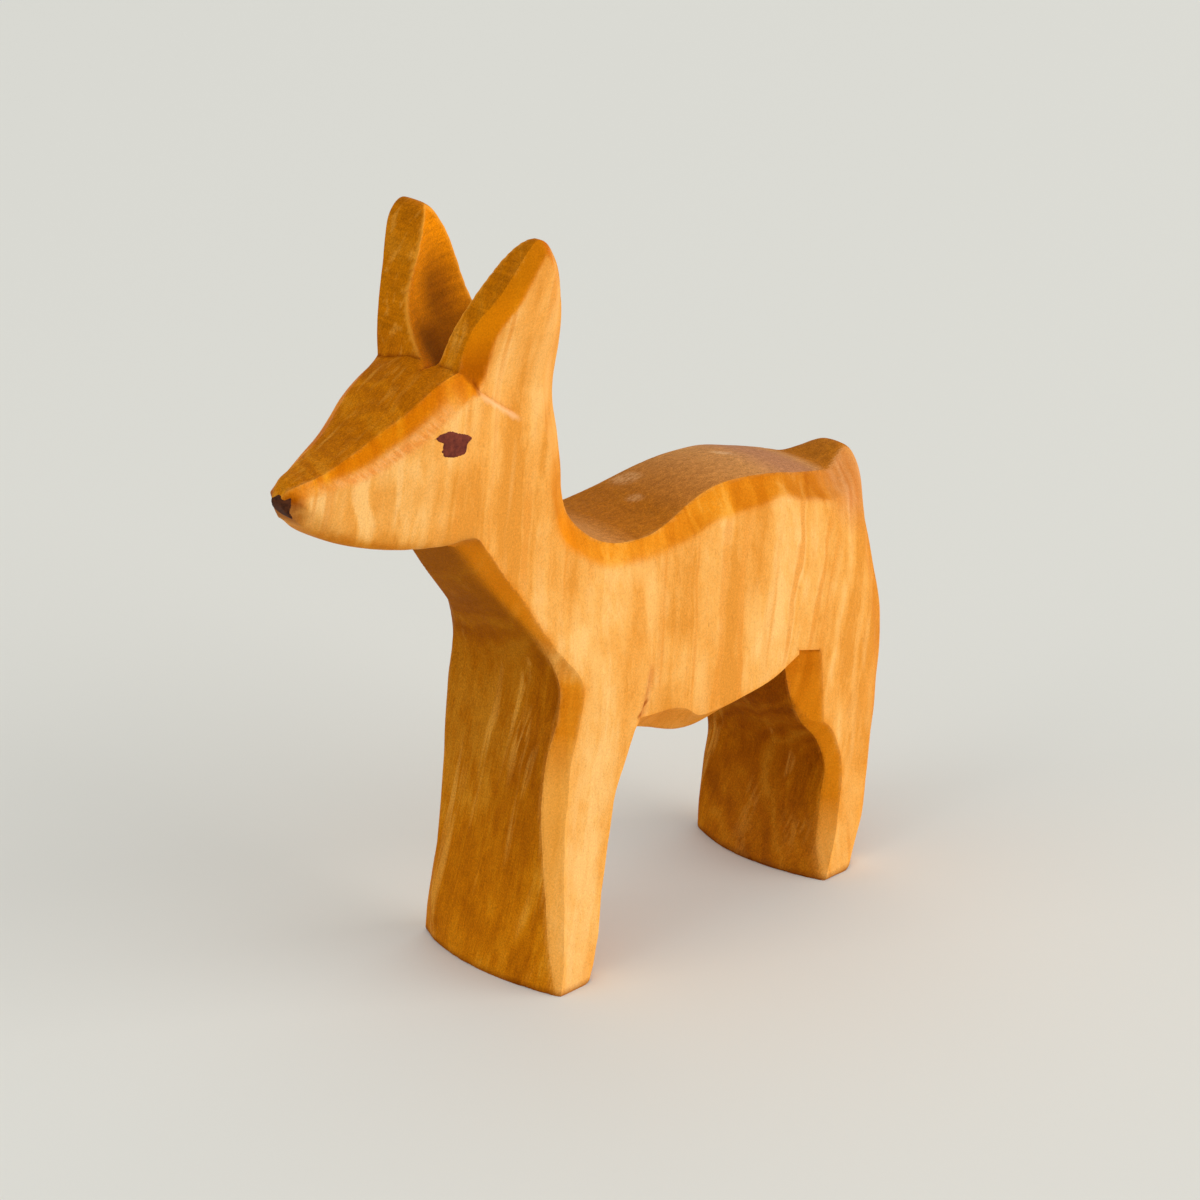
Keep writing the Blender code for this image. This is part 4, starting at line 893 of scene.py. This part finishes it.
    # painted shade on the sheltered fronts: the chest, the throat and the inside of the rear leg are darkened
    painted_shade_band = n.math("MULTIPLY", n.span(pz, 8.0, 32.0), n.span(pz, 78.0, 68.0))
    inner = n.math("MULTIPLY", n.span(px, 22.0, 32.0), n.math("MULTIPLY", n.span(pz, 2.0, 22.0, 0.40, 1.0), n.span(pz, 44.0, 38.0)))
    shaded = n.math("MAXIMUM", n.math("MULTIPLY", painted_shade_band, 0.85), inner)
    cut = n.mix(shaded, cut, n.mix(1.0, cut, (0.60, 0.52, 0.36, 1.0), "MULTIPLY"))
    cut = n.mix(n.math("MULTIPLY", n.span(pz, 36.0, 58.0), n.span(pz, 76.0, 68.0)), cut, n.mix(1.0, cut, (0.88, 0.84, 0.4, 1.0), "MULTIPLY"))
    cut = n.mix(n.math("MULTIPLY", n.math("MULTIPLY", n.span(pz, 38.0, 58.0), n.span(pz, 76.0, 69.0)), 0.6), cut, (0.345, 0.102, 0.0004, 1.0))
    ear = n.span(pz, 92.0, 96.0)
    cut = n.mix(n.math("MULTIPLY", ear, 0.65), cut, (0.50, 0.150, 0.0005, 1.0))
    colour = n.mix(sawn, colour, cut)

    # hollow between the ears: a painted highlight along its ridge, painted shade further in and lower down
    colour = n.mix(hollow, colour, n.mix(deep, n.mix(0.85, cut, (0.78, 0.24, 0.0010, 1.0)), n.mix(0.9, cut, (0.26, 0.068, 0.0002, 1.0))))

    # end grain: mottled, with a painted pinkish sheen towards the croup and the withers
    dots = n.noise(stretched(plain, (0.8, 1.5, 1.5), (7.0, 2.0, 0.0)), 4.0, 0.72)
    mottle = n.ramp(dots, [(0.36, (0.78, 0.75, 0.72)), (0.64, (1.08, 1.08, 1.1))])
    flat_top = n.math("MULTIPLY", end, sawn)
    brow = n.math("MULTIPLY", n.math("MULTIPLY", head, flat_top), n.span(py, 3.0, -2.0))
    colour = n.mix(brow, colour, n.mix(1.0, colour, (0.93, 0.86, 0.7, 1.0), "MULTIPLY"))
    colour = n.mix(flat_top, colour, n.mix(1.0, n.mix(0.55, colour, n.mix(head, (0.61, 0.202, 0.018, 1.0), (0.56, 0.166, 0.0016, 1.0))), mottle, "MULTIPLY"))
    # painted sheen on the tops of the croup and the withers
    croup = n.math("MULTIPLY", n.math("MULTIPLY", n.span(px, 12.0, 34.0), n.span(px, 48.0, 45.0)), n.span(pz, 40.0, 50.0))
    withers = n.math("MULTIPLY", about((15.5, 61.5), 2.0, 8.0), 0.5)
    painted_sheen_top = n.math("MULTIPLY", flat_top, n.math("MAXIMUM", n.math("MULTIPLY", croup, 0.75), withers))
    colour = n.mix(painted_sheen_top, colour, n.mix(1.0, (0.72, 0.345, 0.114, 1.0), mottle, "MULTIPLY"))

    scuff = n.math("MULTIPLY", n.math("MULTIPLY", scuff, flat_top), n.span(dots, 0.40, 0.58, 0.25, 1.15))
    colour = n.mix(scuff, colour, (0.80, 0.45, 0.20, 1.0))

    # pale flecks on sawn wood, short dark pores along the grain
    fleck = n.span(n.noise(stretched(grain, (0.30, 0.30, 0.042), (2.0, 6.0, 1.0)), 1.0, 0.5), 0.55, 0.68)
    fleck = n.math("MULTIPLY", fleck, n.span(n.noise(stretched(grain, (1.3, 1.3, 0.07)), 2.0), 0.42, 0.58))
    upright = n.math("MULTIPLY", n.span(slant, 0.55, 0.25, 0.1, 1.0), n.span(px, 44.0, 50.0, 1.0, 0.5))
    colour = n.mix(n.math("MULTIPLY", n.math("MULTIPLY", fleck, sawn), n.math("MULTIPLY", upright, 0.5)), colour, (0.80, 0.37, 0.055, 1.0))
    slope = n.add("ShaderNodeMapping", {"Vector": plain, "Rotation": (0.0, 0.45, 0.0)})
    scrape = n.span(n.noise(stretched(slope, (0.16, 0.75, 0.5), (3.0, 0.0, 8.0)), 2.0, 0.6), 0.55, 0.68)
    scrape = n.math("MULTIPLY", n.math("MULTIPLY", scrape, head), n.math("MULTIPLY", sawn, n.span(py, -4.0, 1.0, 0.1, 0.55)))
    colour = n.mix(scrape, colour, (0.72, 0.29, 0.03, 1.0))
    pore = n.span(n.noise(stretched(plain, (2.8, 2.8, 0.5), (1.0, 4.0, 9.0)), 1.0, 0.4), 0.67, 0.78)
    colour = n.mix(n.math("MULTIPLY", pore, 0.28), colour, n.mix(1.0, colour, (0.66, 0.5, 0.38, 1.0), "MULTIPLY"))

    # knife lines across the ears, fine grit all over, worn edges, darker creases and a painted contact shadow at the
    # soles
    lines = n.noise(stretched(plain, (0.22, 0.22, 1.9)), 2.0, 0.6)
    shade = n.math("MULTIPLY_ADD", n.math("MULTIPLY", n.math("SUBTRACT", lines, 0.5), n.math("MULTIPLY", ear, n.math("MULTIPLY_ADD", n.math("MAXIMUM", sawn, hollow), 0.75, 0.25))), 0.75, 1.0)
    shade = n.math("MULTIPLY_ADD", n.math("SUBTRACT", grit, 0.5), n.math("MULTIPLY_ADD", n.math("MAXIMUM", sawn, hollow), 0.75, 0.85), shade)
    colour = n.mix(1.0, colour, n.add("ShaderNodeCombineColor", {0: shade, 1: shade, 2: shade}), "MULTIPLY")
    rubbed = n.math("MULTIPLY", worn, n.math("MULTIPLY", n.span(blot, 0.35, 0.62, 0.0, 0.22), n.span(ear, 0.0, 1.0, 1.0, 0.0)))
    colour = n.mix(rubbed, colour, (0.90, 0.46, 0.13, 1.0))
    # painted highlight along the ridges of the ears
    colour = n.mix(n.math("MULTIPLY", ridge_highlight, 0.55), colour, (0.94, 0.40, 0.045, 1.0))
    # painted highlight, partly wear, on the ledge behind the cheek
    colour = n.mix(n.math("MULTIPLY", ledge_light_and_wear, 0.6), colour, (0.95, 0.55, 0.28, 1.0))
    # painted shade on the bevel of the rump and on the pared sides of the tail
    rump = n.math("MULTIPLY", about((58.0, 58.5), 3.0, 9.0), bevel)
    colour = n.mix(rump, colour, n.mix(1.0, colour, (0.80, 0.76, 1.1, 1.0), "MULTIPLY"))
    tail = n.math("MULTIPLY", about((69.5, 56.0), 3.0, 8.0), n.span(sawn, 1.0, 0.0))
    colour = n.mix(tail, colour, n.mix(1.0, colour, (0.82, 0.70, 0.85, 1.0), "MULTIPLY"))
    colour = n.mix(fold, colour, n.mix(1.0, colour, (0.82, 0.68, 0.60, 1.0), "MULTIPLY"))
    nick = [n.math("SUBTRACT", n.add("ShaderNodeVectorMath", {0: plain, 1: way}, out="Value", operation="DOT_PRODUCT"), there)
            for way, there in (((-0.581, 0.0, 0.814), 29.28), ((0.814, 0.0, 0.581), 22.50))]
    nick = n.math("MULTIPLY", n.span(n.math("MULTIPLY", nick[0], nick[0]), 0.12, 0.005), n.span(n.math("MULTIPLY", nick[1], nick[1]), 3.6, 1.6))
    nick = n.math("MULTIPLY", nick, n.span(py, -8.0, -10.0))
    colour = n.mix(nick, colour, n.mix(1.0, colour, (0.60, 0.42, 0.30, 1.0), "MULTIPLY"))
    # painted shade on the underside of the jaw
    jaw = n.math("MULTIPLY", n.math("MULTIPLY", n.span(slant, 0.2, 0.6), n.span(pz, 78.0, 75.0)), n.span(px, -35.0, -42.0))
    colour = n.mix(jaw, colour, n.mix(1.0, colour, (0.88, 0.72, 0.36, 1.0), "MULTIPLY"))
    # painted shade around and below the nose
    chin = n.math("MAXIMUM", about((-37.2, 78.9), 1.4, 2.8), about((-36.5, 76.9), 0.9, 2.6))
    chin = n.math("MULTIPLY", chin, n.span(sawn, 1.0, 0.0))
    colour = n.mix(chin, colour, n.mix(1.0, colour, (0.50, 0.38, 0.30, 1.0), "MULTIPLY"))
    # darker along the concave creases, more so on the ears
    colour = n.mix(n.math("MULTIPLY", crease, n.span(pz, 88.0, 91.0, 0.4, 0.9)), colour, n.mix(1.0, colour, (0.55, 0.42, 0.32, 1.0), "MULTIPLY"))
    # painted contact shadow along the foot of each sole
    colour = n.mix(n.span(pz, 1.0, 0.1), colour, n.mix(1.0, colour, (0.50, 0.40, 0.32, 1.0), "MULTIPLY"))

    n.put(n.shader.inputs["Base Color"], colour)
    dull = n.math("MAXIMUM", sawn, hollow)
    n.put(n.shader.inputs["Roughness"], n.math("MULTIPLY_ADD", dull, 0.1, n.span(hair, 0.3, 0.7, 0.42, 0.56)))
    n.shader.inputs["Specular IOR Level"].default_value = 0.012

    # tool marks run across the pared faces, fibres stand a little proud everywhere
    scrape = n.noise(stretched(plain, (0.5, 0.5, 2.6)), 2.0, 0.6)
    marks_here = n.math("MAXIMUM", n.math("MAXIMUM", bevel, hollow), ear)
    height = n.math("MULTIPLY_ADD", n.math("MULTIPLY", scrape, marks_here), 0.9,
                    n.math("MULTIPLY_ADD", grit, 0.5, n.math("MULTIPLY_ADD", hair, 0.4, blot)))
    n.put(n.shader.inputs["Normal"], n.add("ShaderNodeBump", {"Strength": 0.4, "Distance": 0.00016, "Height": height}))
    return n.material


def paint_material(name, thin, thick):
    n = Nodes(name)
    brushed = n.noise(n.millimetres((1.6, 1.6, 1.6)), 4.0, 0.65)
    n.put(n.shader.inputs["Base Color"], n.ramp(brushed, [(0.32, thick), (0.52, thin), (0.75, tuple(1.5 * c for c in thin))]))
    n.put(n.shader.inputs["Roughness"], n.span(brushed, 0.3, 0.7, 0.45, 0.65))
    n.shader.inputs["Specular IOR Level"].default_value = 0.06
    fine = n.noise(n.millimetres((7.0, 7.0, 3.0)), 2.0, 0.6)
    n.put(n.shader.inputs["Normal"], n.add("ShaderNodeBump", {"Strength": 0.3, "Distance": 0.00008, "Height": fine}))
    return n.material


wood_body.data.materials.append(wood_material())
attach(wood_body, "root")
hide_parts("carved_body")
eye_paint = paint_material("eye_paint", (0.150, 0.030, 0.017), (0.085, 0.015, 0.012))
nose_paint = paint_material("nose_paint", (0.075, 0.022, 0.008), (0.028, 0.009, 0.005))
for node, ob in marks.items():
    ob.data.materials.append(nose_paint if node == "nose_tip" else eye_paint)
    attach(ob, "root")
    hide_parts(node)

# ------------------------------------------------------------------ floor, light, camera
def plain_floor():
    mesh = bpy.data.meshes.new("floor")
    s = 6.0
    mesh.from_pydata([(-s, -s, 0), (s, -s, 0), (s, s, 0), (-s, s, 0)], [], [(0, 1, 2, 3)])
    ob = bpy.data.objects.new("floor", mesh)
    bpy.context.scene.collection.objects.link(ob)
    m = bpy.data.materials.new("pale_floor")
    m.use_nodes = True
    b = m.node_tree.nodes["Principled BSDF"]
    b.inputs["Base Color"].default_value = (0.805, 0.785, 0.727, 1)
    b.inputs["Roughness"].default_value = 0.9
    b.inputs["Specular IOR Level"].default_value = 0.1
    mesh.materials.append(m)


plain_floor()

AZIMUTH, ELEVATION, DISTANCE, FOCAL_PX = math.radians(-46.4), math.radians(21.5), 0.9, 6480.0
back = Vector((math.sin(AZIMUTH) * math.cos(ELEVATION), -math.cos(AZIMUTH) * math.cos(ELEVATION), math.sin(ELEVATION)))
right = Vector((math.cos(AZIMUTH), math.sin(AZIMUTH), 0.0))
up = back.cross(right)
corner = Vector((-MID_X * MM, -14.5 * MM, -SOLE * MM))      # near front corner of the front foot, seen at (553, 995)
ray = -back + right * ((553 - 600) / FOCAL_PX) - up * ((995 - 600) / FOCAL_PX)
cam_data = bpy.data.cameras.new("camera")
cam_data.sensor_width = 36.0
cam_data.lens = 36.0 * FOCAL_PX / 1200.0
cam_data.clip_start = 0.01
cam = bpy.data.objects.new("camera", cam_data)
cam.matrix_world = Matrix.Translation(corner - ray * DISTANCE) @ Matrix((right, up, back)).transposed().to_4x4()
bpy.context.scene.collection.objects.link(cam)
bpy.context.scene.camera = cam


def soft_box(name, where, size, power, colour):
    data = bpy.data.lights.new(name, "AREA")
    data.shape = "RECTANGLE"
    data.size, data.size_y = size
    data.energy = power
    data.color = colour
    ob = bpy.data.objects.new(name, data)
    ob.location = where
    ob.rotation_euler = (Vector((0, 0, 0.055)) - Vector(where)).to_track_quat("-Z", "Y").to_euler()
    bpy.context.scene.collection.objects.link(ob)


def from_camera(side, toward, height):
    """A place given by how far to the camera's right, towards the camera and up it is."""
    flat = Vector((back.x, back.y, 0)).normalized()
    return right * side + flat * toward + Vector((0, 0, height))


soft_box("key", from_camera(2.5, 0.7, 0.79), (3.0, 1.8), 59.0, (1.0, 0.97, 0.93))
soft_box("fill", from_camera(-1.2, 0.9, 0.8), (1.2, 1.0), 5.0, (1.0, 0.99, 0.97))
soft_box("rear", from_camera(0.2, -1.3, 1.0), (1.6, 0.8), 2.4, (0.98, 0.99, 1.0))
world = bpy.data.worlds.new("studio")
world.use_nodes = True
world.node_tree.nodes["Background"].inputs["Color"].default_value = (0.945, 0.985, 1.0, 1)
world.node_tree.nodes["Background"].inputs["Strength"].default_value = 0.62
bpy.context.scene.world = world
bpy.context.scene.view_settings.view_transform = "Standard"
